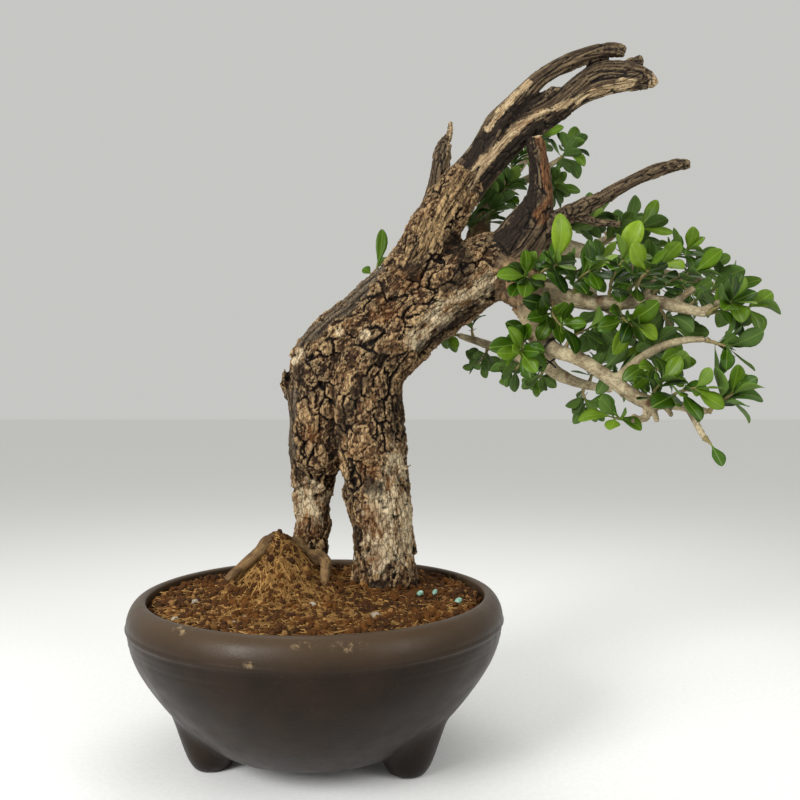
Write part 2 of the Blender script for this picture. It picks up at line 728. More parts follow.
# %% Soil materials
def baked_clay(name, *coats):
    """Clay fired to hard crumbs: dry, rough and without any gloss."""
    made, shader = new_material(name, 0.92, Specular_IOR_Level=0.25)
    patch, crumbs = pattern(made, 22, 5), pattern(made, 0.9, 5, 0.7)
    base = paint(
        made, "#3a2008", (patch, 0.38, 0.62, 1, "#613a10"), (crumbs, 0.5, 0.7, 0.5, "#845317"), *coats)
    relief = add(made, "ShaderNodeBump", {"Height": crumbs, "Distance": 0.5 * MM, "Strength": 0.8})
    return finish_shader(made, shader, base, relief)


def straw_root(name, dark, light):
    """Dead fine roots: pale fibres with brown streaks."""
    made, shader = new_material(name, 0.8, Specular_IOR_Level=0.25)
    streak = pattern(made, 2.5, 5)
    base = paint(made, dark, ("tone", 0, 1, 1, light), (streak, 0.4, 0.7, 0.5, "#4f3115"))
    relief = add(made, "ShaderNodeBump", {"Height": streak, "Distance": 0.15 * MM})
    return finish_shader(made, shader, base, relief)


def coated_pellet():
    """Resin over fertiliser: a chalky blue green."""
    made, shader = new_material("resin coated fertiliser", 0.55)
    chalk = pattern(made, 1.2)
    base = paint(made, "#6a9c87", (chalk, 0.4, 0.65, 1, "#a3c4b4"))
    relief = add(made, "ShaderNodeBump", {"Height": chalk, "Distance": 0.2 * MM})
    return finish_shader(made, shader, base, relief)


bed.data.materials.append(baked_clay("packed baked clay granules", ("dome", 0.6, 0.05, 0.95, "#170c04")))
grains.data.materials.append(baked_clay(
    "loose baked clay grains", ("tone", 0.6, 0.1, 0.6, "#291606"), ("tone", 0.9, 0.95, 0.7, "#98713f"),
    ("tone", 0.99, 0.994, 1, "#a49d8e")))
fibres.data.materials.append(straw_root("dry fibrous roots", "#6d4820", "#bd9353"))
pellets.data.materials.append(coated_pellet())
dress(bed, "soil", "soil")
for piece in (grains, fibres, pellets):
    dress(piece, "soil")

# %% [markdown]
# ## The wood
#
# The tree is one grown body, but its surfaces differ: plated bark on the trunk and legs, weathered wood on
# the dead strands and snags, and smooth pale bark on the live branches. Each limb is a run of places with a
# radius. Tubes through them are fused by a voxel remesh, as lumps of clay are pressed into one, and the
# relief is then pushed into the fused surface. Each kind of surface is its own piece, deep enough in its
# neighbour for no joint to show.

# %% Limbs
# Each limb is a run of (x, y, z, radius), with the kind of surface it has.
LIMBS = {
    "left_leg": ("bark", (
        (-9, 28, 88, 10.5), (-9, 28, 109, 11.5), (-8, 28, 122, 11.8), (-6, 27, 135, 12),
        (-7, 26, 148, 12.8), (-6, 24, 162, 14), (-5, 22.5, 174, 16.5))),
    "right_leg": ("bark", (
        (41, 14, 82, 20), (41, 14, 99, 20.5), (41, 14, 115, 19), (39, 14, 131, 19.5),
        (37.5, 14, 143, 20.3), (35.5, 15, 156, 20.8), (34, 15, 168, 21.4))),
    "trunk_left": ("bark", (
        (-5, 22.5, 172, 16.5), (-3, 20, 180, 18.5), (-1, 18, 197, 20), (0, 18, 216, 21.5),
        (3, 18, 237, 22.5))),
    "trunk_right": ("bark", (
        (35.5, 15.5, 158, 20.5), (33.5, 15, 175, 22), (30, 14, 194, 23), (27, 14, 213, 25),
        (28, 14, 232, 25))),
    "slant_upper": ("bark", (
        (1, 18, 226, 21.5), (4, 18, 240, 21.5), (22, 16, 257, 21), (39, 14, 271, 20.5),
        (54, 12, 285, 20), (65, 12, 303, 18), (75, 12, 325, 16), (84, 12, 341, 14),
        (93, 12, 354, 12.5))),
    "slant_lower": ("bark", (
        (27, 14, 222, 25), (28, 14, 232, 25), (45, 14, 254, 26), (64, 14, 271, 25),
        (85, 14, 285, 24), (105, 12, 296, 22), (120, 10, 299, 17))),
    "strand_upper": ("dead", (
        (88, 12, 345, 12), (93, 12, 354, 11.5), (102, 10, 367, 10), (110, 8, 382, 8.8),
        (121, 5, 396, 6.4), (136, 2, 410.5, 5.4), (152, 0, 419.5, 5.4), (171, -2, 425.5, 4.8),
        (181, -3, 426, 4.4), (187, -4, 424.5, 3.2))),
    "strand_lower": ("dead", (
        (89, 13, 342, 12), (94, 14, 350, 11.5), (104, 13, 362, 11.5), (116, 12, 374.5, 11),
        (128, 10, 383.5, 9.8), (145.5, 7, 392.5, 8.4), (158.5, 5, 403, 8.8), (173, 2, 410, 10.4),
        (189, -1, 410.5, 8.4), (199, -3, 408.5, 6), (206, -5, 404, 2))),
    "strand_web": ("dead", (
        (117, 9, 385, 5), (125, 8, 391, 5.4), (132, 6, 395.5, 4.6), (139, 5, 399.2, 4.2),
        (144, 4, 403.2, 3.2), (150, 4, 402.5, 3.4), (158, 2, 407.5, 3.6), (167, 1, 412.5, 4.2))),
    "strand_spur": ("dead", ((184, 0, 412, 6), (191, 0, 417, 4.8), (198, 1, 421.5, 3.6))),
    "snag_left": ("dead", (
        (66, 17, 318, 9), (70, 18, 331, 8), (74, 20, 347, 6.8), (76, 22, 362, 6),
        (77.5, 23, 373, 5.4), (79.5, 24, 379.5, 3.4), (82, 24, 384, 2.2), (82.5, 24, 392, 1.4))),
    "snag_red": ("dead", (
        (110, 8, 300, 15), (121, 6, 308, 15), (130, 6, 321, 14), (135.5, 5, 333.5, 10),
        (137, 4, 346, 7.3), (135.5, 3, 360, 6.2), (133, 2, 375, 5))),
    "dead_branch": ("dead", (
        (132, 6, 313, 9), (140, 4, 318, 8), (151, -2, 325, 6), (162, -8, 329.5, 5),
        (176, -14, 336, 4.3), (191, -20, 343, 4.1), (205, -24, 348, 3.8), (218, -28, 349, 2.6))),
    "dead_twig": ("dead", ((151, -2, 327, 3.5), (169, -10, 319, 2.4), (181, -16, 317, 1.9))),
    "high_branch": ("live", (
        (112, 4, 294, 14), (124, -8, 282, 10), (136, -24, 275, 7), (149, -38, 269, 5),
        (161, -50, 265, 4.4), (174, -62, 264, 3.8), (184, -72, 263, 3.6), (194, -80, 259, 3.2),
        (206, -86, 255, 2.2))),
    "high_stub": ("live", ((172, -60, 264, 3.4), (178, -66, 269, 2.4))),
    "under_branch": ("live", ((161, -50, 265, 3), (173, -44, 258, 2.2), (182, -40, 248, 1.6))),
    "low_branch": ("live", (
        (116, 0, 284, 12), (125, -8, 273, 9), (128, -16, 259, 6.5), (131, -24, 247, 5.4),
        (137, -34, 241, 4.6), (149, -46, 235, 4), (160, -58, 226, 3.8), (170, -68, 216, 3.8),
        (179, -76, 210, 3.8), (189, -82, 209, 2.8), (198, -86, 207, 2.4), (205, -90, 205, 1.7))),
    "low_fork_up": ("live", (
        (165, -63, 221, 3.2), (175, -66, 231, 2.6), (184, -72, 238, 2.4), (196, -78, 242, 2.1),
        (206, -84, 242, 1.6))),
    "low_fork_down": ("live", ((196, -86, 208, 2.1), (199, -90, 199, 1.8), (202, -93, 192, 1.6))),
    "low_fork_left": ("live", ((179, -76, 209, 2.8), (177, -78, 202, 2.3), (167, -80, 201, 1.7))),
    "left_branch": ("live", (
        (132, -25, 244, 4.6), (137, -12, 234, 4.6), (128, 4, 238, 4), (118, 24, 244, 3.5),
        (105, 48, 252, 2.9), (92, 72, 259, 2.2))),
    "left_fork": ("live", (
        (137, -12, 234, 4.4), (147, -10, 227, 4), (162, -4, 222, 3), (181, 4, 219, 2.2))),
    "crown_branch": ("live", (
        (101, 18, 296, 13), (103, 44, 324, 8), (108, 58, 342, 6), (121, 70, 361, 4.4),
        (135, 80, 379, 3), (145, 88, 394, 2))),
    "crown_fork": ("live", ((119, 68, 358, 3.6), (143, 82, 373, 2.8), (163, 90, 387, 2))),
    "right_branch": ("live", (
        (122, 11, 300, 12), (129, 12, 300, 11), (149, 20, 310, 7), (170, 28, 309, 4.6),
        (192, 30, 303, 3.8), (215, 26, 296, 3.2), (236, 18, 289, 2.6), (254, 8, 283, 1.9))),
    "right_fork": ("live", ((168, 27, 309, 3.8), (191, 56, 323, 3), (209, 84, 337, 2))),
    "mound_root": ("root", (
        (-11, 26, 116, 8), (-19, 12, 122, 5.5), (-29, 0, 126, 4.6), (-35, -10, 121, 3.8),
        (-45, -14, 112, 3), (-53, -18, 106, 2.2))),
    "front_root": ("root", (
        (-7, 22, 112, 7), (3, 8, 112, 4), (4, 2, 105, 3.4), (3, -4, 98, 2.4))),
}

# %% Stubs, knots and bits of bark
# Cut stubs of the live branches: where each leaves the wood, where it ends and its radius.
STUBS = (
    ((156, -46, 267), (160, -50, 288), 2.3), ((178, -66, 263), (185, -72, 276), 1.9),
    ((190, -78, 260), (201, -82, 269), 2.0), ((203, -84, 256), (218, -92, 264), 1.7),
    ((171, -79, 203), (168, -86, 200), 1.4), ((180, -80, 207), (181, -85, 200), 1.7),
    ((186, -82, 208), (188, -86, 203), 1.5), ((135, -28, 244), (138, -36, 252), 2.2),
    ((146, -44, 236), (149, -50, 244), 1.3), ((168, -66, 219), (166, -72, 213), 1.2),
)
# Knots and callus lumps on the live wood: place, reach and height.
KNOTS = (
    ((126, -22, 273), 5, 1.0), ((160, -54, 266), 5, 1.6), ((136, -34, 244), 5.5, 1.4),
    ((170, -70, 217), 4, 1.0), ((179, -80, 210), 5, 1.7), ((150, -47, 236), 4, 0.7),
    ((140, -14, 234), 5, 1.3), ((149, -12, 227), 4, 1.0), ((188, -76, 262), 3.5, 0.8),
)
# A curled flake on the bend, a spike under it and the hook at the fork, as runs of (x, y, z, radius).
BARK_BITS = (
    ((-17, 15, 211, 3), (-21.6, 14, 216, 2.4), (-23.6, 14, 222, 2.3), (-23.2, 14, 228, 2),
     (-22.4, 14, 233, 1)),
    ((50, 2, 170, 3), (55, -2, 172, 1.5), (57, -4, 173, 0.7)),
    ((14, 6, 172, 3), (17, 2, 168, 1.7), (19, -1, 163, 1.1), (18, -2, 160, 0.7)),
    ((29, 4, 128, 3), (22.5, 0, 121, 1.0), (21.5, -1, 112, 0.8), (21, -2, 103, 0.8)),
    ((40, -8, 262, 4), (36, -12, 266, 1.6), (33, -13, 270, 0.9)),
)

# %% Fusing the limbs
# How fine the remesh of each kind is, in millimetres: finer where the limbs are thin.
VOXELS = {"bark": 0.94 * FINE, "dead": 0.76 * FINE, "live": 0.84 * FINE, "root": 0.62 * FINE}
TUBE_SIDES = 20
TUBE_STEP = 3


def grown(name, kind, extra=()):
    """All the limbs of one kind, fused into one closed body."""
    verts, faces = [], []
    runs = [smooth_path(rows, TUBE_STEP) for limb_kind, rows in LIMBS.values() if limb_kind == kind]
    for rows in runs + list(extra):
        corners, sides = tube_mesh(rows, TUBE_SIDES)
        faces += [[c + len(verts) for c in side] for side in sides]
        verts += corners
    piece = piece_from(name, verts, faces)
    modify(piece, "REMESH", mode="VOXEL", voxel_size=VOXELS[kind] * MM)
    modify(piece, "SMOOTH", iterations=3)
    print(name, "has", len(piece.data.vertices), "corners")
    return piece


# %% [markdown]
# Wood fibres run along a limb, so the relief needs to know where a point is in its own limb: how far across
# it, over it and along it, and how thick the limb is there. The two cross directions are carried from ring
# to ring without twisting, which keeps the fibres unbroken round a bend.

# %% A point's place in its limb
FLOW_STEP = 5
FLOW_SHIFT = 70   # keeps the pattern of one limb from repeating in the next


def limb_space(points, kind):
    """Each point's place across, over and along the nearest limb of a kind, and that limb's radius there."""
    best = np.full(len(points), 1e9)
    place = np.zeros((len(points), 3))
    radius = np.zeros(len(points))
    reach = 0.0
    for limb_kind, rows in LIMBS.values():
        if limb_kind != kind:
            continue
        rows = smooth_path(rows, FLOW_STEP)
        across = Vector(rows[1][:3] - rows[0][:3]).orthogonal().normalized()
        for low, high in zip(rows, rows[1:]):
            span = (high - low)[:3]
            length = float(np.linalg.norm(span))
            along = Vector(span) / length
            across = (across - along * across.dot(along)).normalized()
            over = along.cross(across)
            off = points - low[:3]
            t = np.clip(off @ span / length ** 2, 0, 1)
            off -= t[:, None] * span
            size = low[3] + t * (high[3] - low[3])
            away = np.linalg.norm(off, axis=1) / size
            closer = away < best
            best[closer] = away[closer]
            radius[closer] = size[closer]
            here = np.stack([off @ np.array(across), off @ np.array(over), reach + t * length], 1)
            place[closer] = here[closer]
            reach += length
        reach += FLOW_SHIFT
    return place, radius


# %% [markdown]
# Old olive bark breaks into plates about a centimetre across. Each plate is a cell of a Voronoi pattern:
# the difference between the distances to the two nearest cell centres is small at a border, and there the
# crack is cut. Cracks open and close along their length. Each plate gets its own height and tilt from its
# centre, and its top is terraced by a noise that is cut into steps, as flakes that came off by layers.

# %% Bark relief
BEND_HEIGHTS = (212, 248)   # where the trunk turns from upright to slanting
BEND_TURN = 0.9             # and by how many radians
BEND_AT = Vector((12, 14, 230))
PLATE_SIZE = 9
PLATE_DRAW = 0.62           # a plate's width out of its length along the trunk
CHIP_SIZE = 4.4
CRACK_DEPTH = 2.4
CHIP_DEPTH = 0.45
PLATE_STEP = 0.8            # how far plates differ in height
PLATE_TILT = 0.2
LAYER = 0.55                # height of one flaked layer


def along_bark(spot):
    """A spot squeezed along the trunk, so that a pattern on it comes out longer that way."""
    turn = BEND_TURN * smooth_step(*BEND_HEIGHTS, spot.z)
    along = Vector((math.sin(turn), 0, math.cos(turn)))
    off = spot - BEND_AT
    return off - along * off.dot(along) * (1 - PLATE_DRAW)


def bark_relief(spot, flow, _):
    """Push of the bark at a spot in millimetres, with its crack depth and its plate's tone."""
    place = along_bark(spot)
    wobble = noise.noise_vector(spot / 9) * 0.26 + noise.noise_vector(spot / 3.2) * 0.09
    cell = place / PLATE_SIZE + wobble
    gaps, centres = noise.voronoi(cell)
    gape = max(0.0, noise.noise(spot / 13 + Vector((3, 3, 3))) + 0.2)
    crack = (1 - smooth_step(0.0, 0.03 + 0.15 * gape, gaps[1] - gaps[0])) * min(1.0, 0.4 + 1.5 * gape)
    tone = noise.cell(centres[0] * 37.1)
    lean = Vector([noise.cell(centres[0] * factor) for factor in (11.3, 17.9, 23.1)])
    chip_gaps, chip_centres = noise.voronoi(place / CHIP_SIZE + noise.noise_vector(spot / 2.6) * 0.35)
    chip_width = 0.02 + 0.08 * max(0.0, noise.noise(spot / 6) + 0.3)
    chip = 1 - smooth_step(0, chip_width, chip_gaps[1] - chip_gaps[0])
    chip_tone = noise.cell(chip_centres[0] * 41.7)
    layers = 1.8 * noise.noise(place / 6.5) + 0.8 * noise.noise(spot / 3) + 0.3 * noise.noise(spot / 1.3)
    layer = math.floor(layers)
    ledge = layers - layer
    terrace = layer + smooth_step(0.75, 1.0, ledge)
    fibre = noise.noise(Vector((flow.x, flow.y, flow.z * 0.25)) / 0.9)
    push = PLATE_STEP * tone + PLATE_SIZE * PLATE_TILT * lean.dot(cell - centres[0]) + 0.4 * chip_tone
    push += LAYER * terrace + 0.25 * fibre - CRACK_DEPTH * crack - CHIP_DEPTH * chip
    shadow = 0.6 * smooth_step(0.5, 0.76, ledge) * (1 - smooth_step(0.82, 0.98, ledge))
    shade = 0.5 * noise.noise(spot / 24 + Vector((7, 1, 2)))
    return push, max(crack, 0.6 * chip, shadow), 0.5 + 0.28 * tone + 0.2 * chip_tone + 0.1 * terrace + shade


# %% Relief of bare and of young wood
LIVE_LUMP = {"live": 0.07, "root": 0.22}   # height of its lumps, out of its radius


def grain_relief(spot, flow, radius):
    """Push of weathered wood: long ridges with checks between them, and how deep a check is."""
    drift = noise.noise_vector(spot / 16) * 1.4
    scale = min(1.0, 0.35 + radius / 11)
    line = Vector((flow.x, flow.y, flow.z * 0.055)) + drift
    broad = noise.noise(line / (4.6 * scale))
    rope = noise.noise(line / (2.3 * scale) + Vector((5, 5, 5)))
    check = max(0.0, 1 - abs(noise.noise(line / (3.1 * scale) + Vector((9, 2, 4)))) * 7.5)
    fine = noise.noise(Vector((flow.x, flow.y, flow.z * 0.12)) / 0.85)
    across = Vector((flow.x * 0.35, flow.y * 0.35, flow.z)) + drift * 2
    split = max(0.0, 1 - abs(noise.noise(across / 3.6)) * 10) * max(0.0, 0.5 + broad)
    push = scale * (1.5 * broad + 0.7 * rope - 1.3 * check) + 0.25 * fine - 0.35 * split
    return push, min(1.0, 0.9 * check + 0.55 * split), 0.5 + 0.55 * broad + 0.45 * rope + 0.2 * fine


def live_relief(flow, radius, kind):
    """Push of young bark: a net of shallow cracks, and its lumps."""
    gaps, _ = noise.voronoi(Vector((flow.x, flow.y, flow.z * 0.6)) / 1.5)
    net = 1 - smooth_step(0, 0.34, gaps[1] - gaps[0])
    lump = noise.noise(Vector((flow.x, flow.y, flow.z * 0.5)) / 5)
    fine = noise.noise(Vector((flow.x, flow.y, flow.z * 0.3)) / 1.2)
    return LIVE_LUMP[kind] * radius * lump - 0.16 * net + 0.12 * fine, net, 0.5 + 0.5 * lump + 0.25 * fine


# %% [markdown]
# The wood isn't the same all over. The lower edge of the slanted trunk and the flanks of the legs have lost
# their bark and show pale smooth wood; the upper left edge is grey and fibrous; the legs are stained where
# they meet the wet soil. Each such place is a soft ellipsoid with a frayed edge, kept as a number on the
# corners.

# %% Bare, grey, charred and wet places
RUN_DEPTH = 15   # reach of a run's ellipsoids along y
RUN_STEP = 2.5   # and how far apart they are


def along_run(*rows):
    """Soft ellipsoids along a run of (x, y, z, radius), deep enough to reach through the skin."""
    return tuple(((x, y, z), (size, RUN_DEPTH, size)) for x, y, z, size in smooth_path(rows, RUN_STEP))


# Each place is a centre and its reach along x, y and z.
BARE_PLACES = (
    *along_run((58, -6, 248, 7), (68, -8, 257, 9), (80, -10, 266, 10), (95, -10, 277, 10),
               (107, -10, 285, 8)),
    ((-9, 20, 148), (17, 20, 18)), ((42, -4, 150), (17, 14, 20)), ((40, -4, 122), (17, 14, 18)),
    ((54, 2, 134), (12, 18, 26)), ((-15, 4, 241), (7, 10, 8)), ((14, -3, 254), (4, 5, 4)),
    ((50, -2, 172), (12, 14, 18)), ((29, -8, 252), (5, 8, 5)),
)
STREAK_PLACES = (
    *along_run((93, 0, 352, 8), (84, -2, 338, 8), (74, -4, 322, 8), (62, -4, 306, 7), (50, -2, 292, 5)),
)
GREY_PLACES = (
    *along_run((-12, 4, 249, 5), (0, 4, 258, 6), (14, 4, 268, 6), (26, 6, 281, 5), (38, 8, 294, 4)),
    *along_run((-19, 10, 216, 6), (-20, 10, 198, 7), (-19, 10, 178, 7)),
)
DARK_PLACES = (
    *along_run((82, -4, 312, 6), (89, -6, 302, 8), (86, -8, 290, 7), (77, -10, 279, 6)),
    *along_run((62, -6, 243, 4), (80, -6, 256, 5), (96, -6, 268, 5)),
    *along_run((9, -4, 178, 4), (12, -6, 194, 5), (20, -10, 208, 5), (27, -12, 224, 5)),
    ((23, 2, 130), (3.5, 9, 10)), ((40, 4, 97), (24, 24, 7)), ((-9, 22, 112), (15, 15, 8)),
    ((33, -6, 160), (7, 8, 8)), ((54, 4, 206), (12, 18, 22)), ((-12, 2, 230), (7, 9, 8)),
    ((40, -8, 240), (9, 10, 9)), ((57, -4, 292), (7, 10, 9)),
)
RUST_PLACES = (
    ((-8, 18, 130), (12, 12, 9)), ((34, -4, 140), (9, 9, 14)), ((30, -6, 168), (10, 9, 10)),
    ((34, -4, 118), (8, 9, 9)), ((42, -8, 266), (13, 10, 10)), ((20, -6, 182), (9, 9, 8)),
    ((56, -6, 284), (12, 10, 10)), ((-6, 0, 190), (10, 10, 8)),
)
RED_PLACES = along_run((136, -1, 372, 3.5), (139, -2, 352, 4), (141, -3, 336, 4.5), (134, -6, 322, 5))
CHAR_PLACES = (
    *along_run((168, -2, 394, 4), (148, -1, 385, 4.5), (133, -1, 377, 5.5), (116, -1, 361, 7),
               (103, 0, 346, 8)),
    *along_run((91, 2, 358, 5), (100, 3, 371, 7), (111, 3, 382, 6), (123, 3, 391, 5), (136, 2, 399, 4)),
    *along_run((130, -2, 368, 3), (131, -2, 348, 4), (127, -4, 328, 8), (116, -6, 312, 10),
               (107, -8, 303, 9)),
)
PALE_PLACES = (
    *along_run((190, -6, 405, 4), (174, -5, 401, 3.6), (156, -4, 395, 3), (143, -2, 391, 2.6),
               (130, -1, 386, 2.8), (122, 0, 379, 3.2), (112, 0, 370, 3.6), (103, 0, 360, 4.4),
               (94, 0, 350, 5), (86, -2, 340, 5)),
    *along_run((104, 2, 380, 3), (116, 0, 394, 3), (128, -2, 406, 2.6)),
    *along_run((80, 20, 346, 3), (82, 20, 370, 3), (83, 22, 391, 2.4)), ((206, -4, 406), (7, 12, 7)),
    ((134, -2, 376), (6, 8, 3)),
)

# %% Numbers for the materials
FRAY = ((0.55, 6), (0.3, 2.1))   # height and size of the noises that fray a place's edge
FRAY_REACH = 1.8                 # no place reaches further than this, out of its own reach
SOFT_EDGE = (0.45, 1.05)         # from full strength to none, out of its reach
HOLLOW_ROUNDS = 5


def nearness(points, places):
    """How far inside any of the soft ellipsoids each point is, with a frayed edge."""
    best = np.zeros(len(points))
    for centre, reach in places:
        away = np.linalg.norm((points - centre) / reach, axis=1)
        near = np.flatnonzero(away < FRAY_REACH)
        ragged = [sum(height * noise.noise(Vector(points[k]) / size) for height, size in FRAY) for k in near]
        best[near] = np.maximum(best[near], 1 - smooth_step(*SOFT_EDGE, away[near] + ragged))
    return best


def hollow_of(piece):
    """How far each corner lies below its smoothed neighbours, in millimetres."""
    corners = corners_of(piece)
    links = np.empty(len(piece.data.edges) * 2, int)
    piece.data.edges.foreach_get("vertices", links)
    one, other = links.reshape(-1, 2).T
    ends = np.hstack([one, other])
    count = np.bincount(ends, minlength=len(corners))[:, None]
    smoothed = corners.copy()
    for _ in range(HOLLOW_ROUNDS):
        mates = np.vstack([smoothed[other], smoothed[one]])
        sums = [np.bincount(ends, mates[:, axis], len(corners)) for axis in range(3)]
        smoothed = np.stack(sums, 1) / count
    return ((smoothed - corners) * normals_of(piece)).sum(1)


def finish_relief(piece, flows, numbers, **marks):
    """Push the surface in and out and keep its numbers for the material."""
    push, crack, tone = numbers
    move_corners(piece, corners_of(piece) + normals_of(piece) * push[:, None])
    for name, values in (("crack", crack), ("tone", tone), ("hollow", hollow_of(piece)), *marks.items()):
        mark(piece, name, values)
    layer = piece.data.attributes.new("flow", "FLOAT_VECTOR", "POINT")
    layer.data.foreach_set("vector", (flows * MM).astype(np.float32).ravel())
    piece.data.shade_smooth()


# %% [markdown]
# Two reliefs meet on most limbs: plated bark gives way to bare wood on the trunk, charred wood breaks up
# like bark, and an old branch is rougher than a young one. Both are worked out at each corner and mixed by
# a share.

# %% Trunk and legs
FAINT = 0.01          # a share below this leaves no trace
BARE_DEPTH = 0.7      # how far bare wood lies under the bark round it
SOIL_CALM = (1, 6)    # heights over the soil between which the relief comes up to its full depth
CALM_SHARE = 0.35     # and what it has of it below them


def mixed_relief(corners, flows, radii, shares, main, second, strength=1):
    """Push, crack and tone of the main relief at each corner, with the second one mixed in by its share."""
    found = []
    for spot, flow, radius, share in zip(corners, flows, radii, shares):
        spot, flow = Vector(spot), Vector(flow)
        numbers = np.array(main(spot, flow, radius))
        if share > FAINT:
            mixed_in = np.array(second(spot, flow, radius)) * strength * share
            numbers = numbers * (1 - strength * share) + mixed_in
        found.append(numbers)
    return np.array(found).T


def bare_relief(spot, flow, radius):
    """Relief of the bare wood between the bark, which lies a little deeper."""
    return np.array(grain_relief(spot, flow, radius)) - (BARE_DEPTH, 0, 0)


def carve_bark(piece):
    """Plates on the trunk and legs, smooth wood where the bark is gone, and a calm foot at the soil."""
    corners = corners_of(piece)
    flows, radii = limb_space(corners, "bark")
    bare, grey, streak = (nearness(corners, p) for p in (BARE_PLACES, GREY_PLACES, STREAK_PLACES))
    smooth_share = np.maximum(np.maximum(0.6 * bare, 0.9 * grey), 0.95 * streak)
    numbers = mixed_relief(corners, flows, radii, smooth_share, bark_relief, bare_relief)
    over_soil = np.array([smooth_step(*SOIL_CALM, z - soil_height(x, y)) for x, y, z in corners])
    numbers[0] *= CALM_SHARE + (1 - CALM_SHARE) * over_soil
    finish_relief(
        piece, flows, numbers, bare=bare, grey=grey, streak=streak,
        dark=nearness(corners, DARK_PLACES), rust=nearness(corners, RUST_PLACES))


trunk = grown("trunk_bark", "bark", [smooth_path(bit, 1.5) for bit in BARK_BITS])
carve_bark(trunk)


# %% Dead strands and snags
CUBE_SHARE = 0.5   # charred wood breaks up into plates by this share


def carve_dead(piece):
    """Long ridges and checks on the dead wood, broken up where it is charred."""
    corners = corners_of(piece)
    flows, radii = limb_space(corners, "dead")
    char = nearness(corners, CHAR_PLACES)
    numbers = mixed_relief(corners, flows, radii, char, grain_relief, bark_relief, CUBE_SHARE)
    finish_relief(
        piece, flows, numbers, red=nearness(corners, RED_PLACES), char=char,
        bare=nearness(corners, PALE_PLACES))


dead_wood = grown("dead_wood", "dead")
carve_dead(dead_wood)


# %% Live branches and surface roots
OLD_FROM = (5.2, 9.0)   # radii over which a branch turns from smooth young bark to old wood
OLD_PLACES = (((110, -4, 290), (28, 26, 22)),)


def carve_live(piece, kind):
    """A fine net and soft lumps on young bark, plates where the limb is old, and the knots."""
    corners = corners_of(piece)
    flows, radii = limb_space(corners, kind)
    old = np.maximum(smooth_step(*OLD_FROM, radii), nearness(corners, OLD_PLACES) * (kind == "live"))
    numbers = mixed_relief(
        corners, flows, radii, old, lambda _, flow, radius: live_relief(flow, radius, kind), bark_relief)
    knot = np.zeros(len(corners))
    for centre, reach, height in KNOTS:
        near = np.exp(-(np.linalg.norm(corners - centre, axis=1) / reach) ** 2 * 2)
        numbers[0] += height * near
        knot = np.maximum(knot, near)
    finish_relief(piece, flows, numbers, knot=knot, old=old)


stub_rows = []
for start, end, size in STUBS:
    middle = tuple((a + b) / 2 for a, b in zip(start, end))
    stub_rows.append(np.array([(*start, size * 1.3), (*middle, size), (*end, size * 0.95)]))
branches = grown("live_branches", "live", stub_rows)
carve_live(branches, "live")
roots = grown("surface_roots", "root")
carve_live(roots, "root")

# %% [markdown]
# Four finishes colour the wood. Each reads the numbers that the relief left on the corners: cracks are
# nearly black, the tone differs from plate to plate, raised edges are worn pale and hollows hold dirt. A
# noise drawn out along each limb gives the fibres, and a net of hair cracks adds what is too thin to model.

# %% Hair cracks and old bark
def hair_cracks(made, size, stretch=(1, 1, 0.45)):
    """A fine net of cracks on bent coordinates: near 0 in a crack and more beside it."""
    where = add(made, "ShaderNodeTexCoord", {}, "Object")
    sway = add(made, "ShaderNodeTexNoise", {"Vector": where, "Scale": per_mm(4), "Detail": 4.0}, "Color")
    where = add(made, "ShaderNodeVectorMath", {0: sway, 1: (3 * MM,) * 3, 2: where}, operation="MULTIPLY_ADD")
    where = add(made, "ShaderNodeMapping", {"Vector": where, "Scale": stretch})
    return add(
        made, "ShaderNodeTexVoronoi", {"Vector": where, "Scale": per_mm(size)}, "Distance",
        feature="DISTANCE_TO_EDGE")


def old_bark():
    """Plated bark: rough dry cork, pale on worn edges and nearly black in its cracks."""
    made, shader = new_material("old olive bark", 0.92, Specular_IOR_Level=0.2)
    fibre, patch = pattern(made, 1.1, 8, 0.7, (1, 1, 0.22), along_wood=True), pattern(made, 15, 6)
    streak, hair = pattern(made, 2.6, 7, 0.6, (1, 1, 0.12), along_wood=True), hair_cracks(made, 3.0)
    blotch = pattern(made, 5, 8, 0.7, (1, 1, 0.45), along_wood=True)
    pale = paint(made, "#7d5a37", (blotch, 0.4, 0.54, 1, "#dfcca7"), (fibre, 0.45, 0.32, 0.7, "#5d4226"))
    grey = paint(made, "#1f1811", (streak, 0.4, 0.6, 1, "#6f6352"))
    ropes = paint(made, "#2c1b0e", (streak, 0.4, 0.62, 1, "#b99a6d"), (fibre, 0.45, 0.32, 0.6, "#44290f"))
    base = paint(
        made, "#2a1a0e", ("tone", 0.2, 0.6, 1, "#5f4026"), ("tone", 0.5, 0.95, 0.9, "#987852"),
        (patch, 0.42, 0.62, 0.45, "#4d3420"), ("tone", 0.68, 1.0, 0.7, "#bd9f74"),
        (fibre, 0.52, 0.7, 0.5, "#b3966c"), (fibre, 0.46, 0.3, 0.75, "#21140b"),
        ("hollow", -0.05, -0.35, 0.5, "#bfa277"), ("hollow", 0.04, 0.45, 0.88, "#120b06"),
        ("bare", 0.1, 0.7, 0.8, pale), ("grey", 0.1, 0.7, 0.85, grey), ("streak", 0.1, 0.7, 0.9, ropes),
        ("rust", 0, 1, 0.4, "#71441c"), ("dark", 0, 0.9, 0.75, "#1a110a"),
        (hair, 0.1, 0.0, 0.7, "#120b06"), ("crack", 0.2, 0.7, 0.95, "#0d0704"))
    fine = add(made, "ShaderNodeBump", {"Height": fibre, "Distance": 0.9 * MM, "Strength": 0.8})
    shallow = add(made, "ShaderNodeMapRange", {0: hair, 1: 0.0, 2: 0.12})
    relief = add(made, "ShaderNodeBump", {
        "Height": shallow, "Distance": 0.5 * MM, "Strength": 0.6, "Normal": fine})
    return finish_shader(made, shader, base, relief)


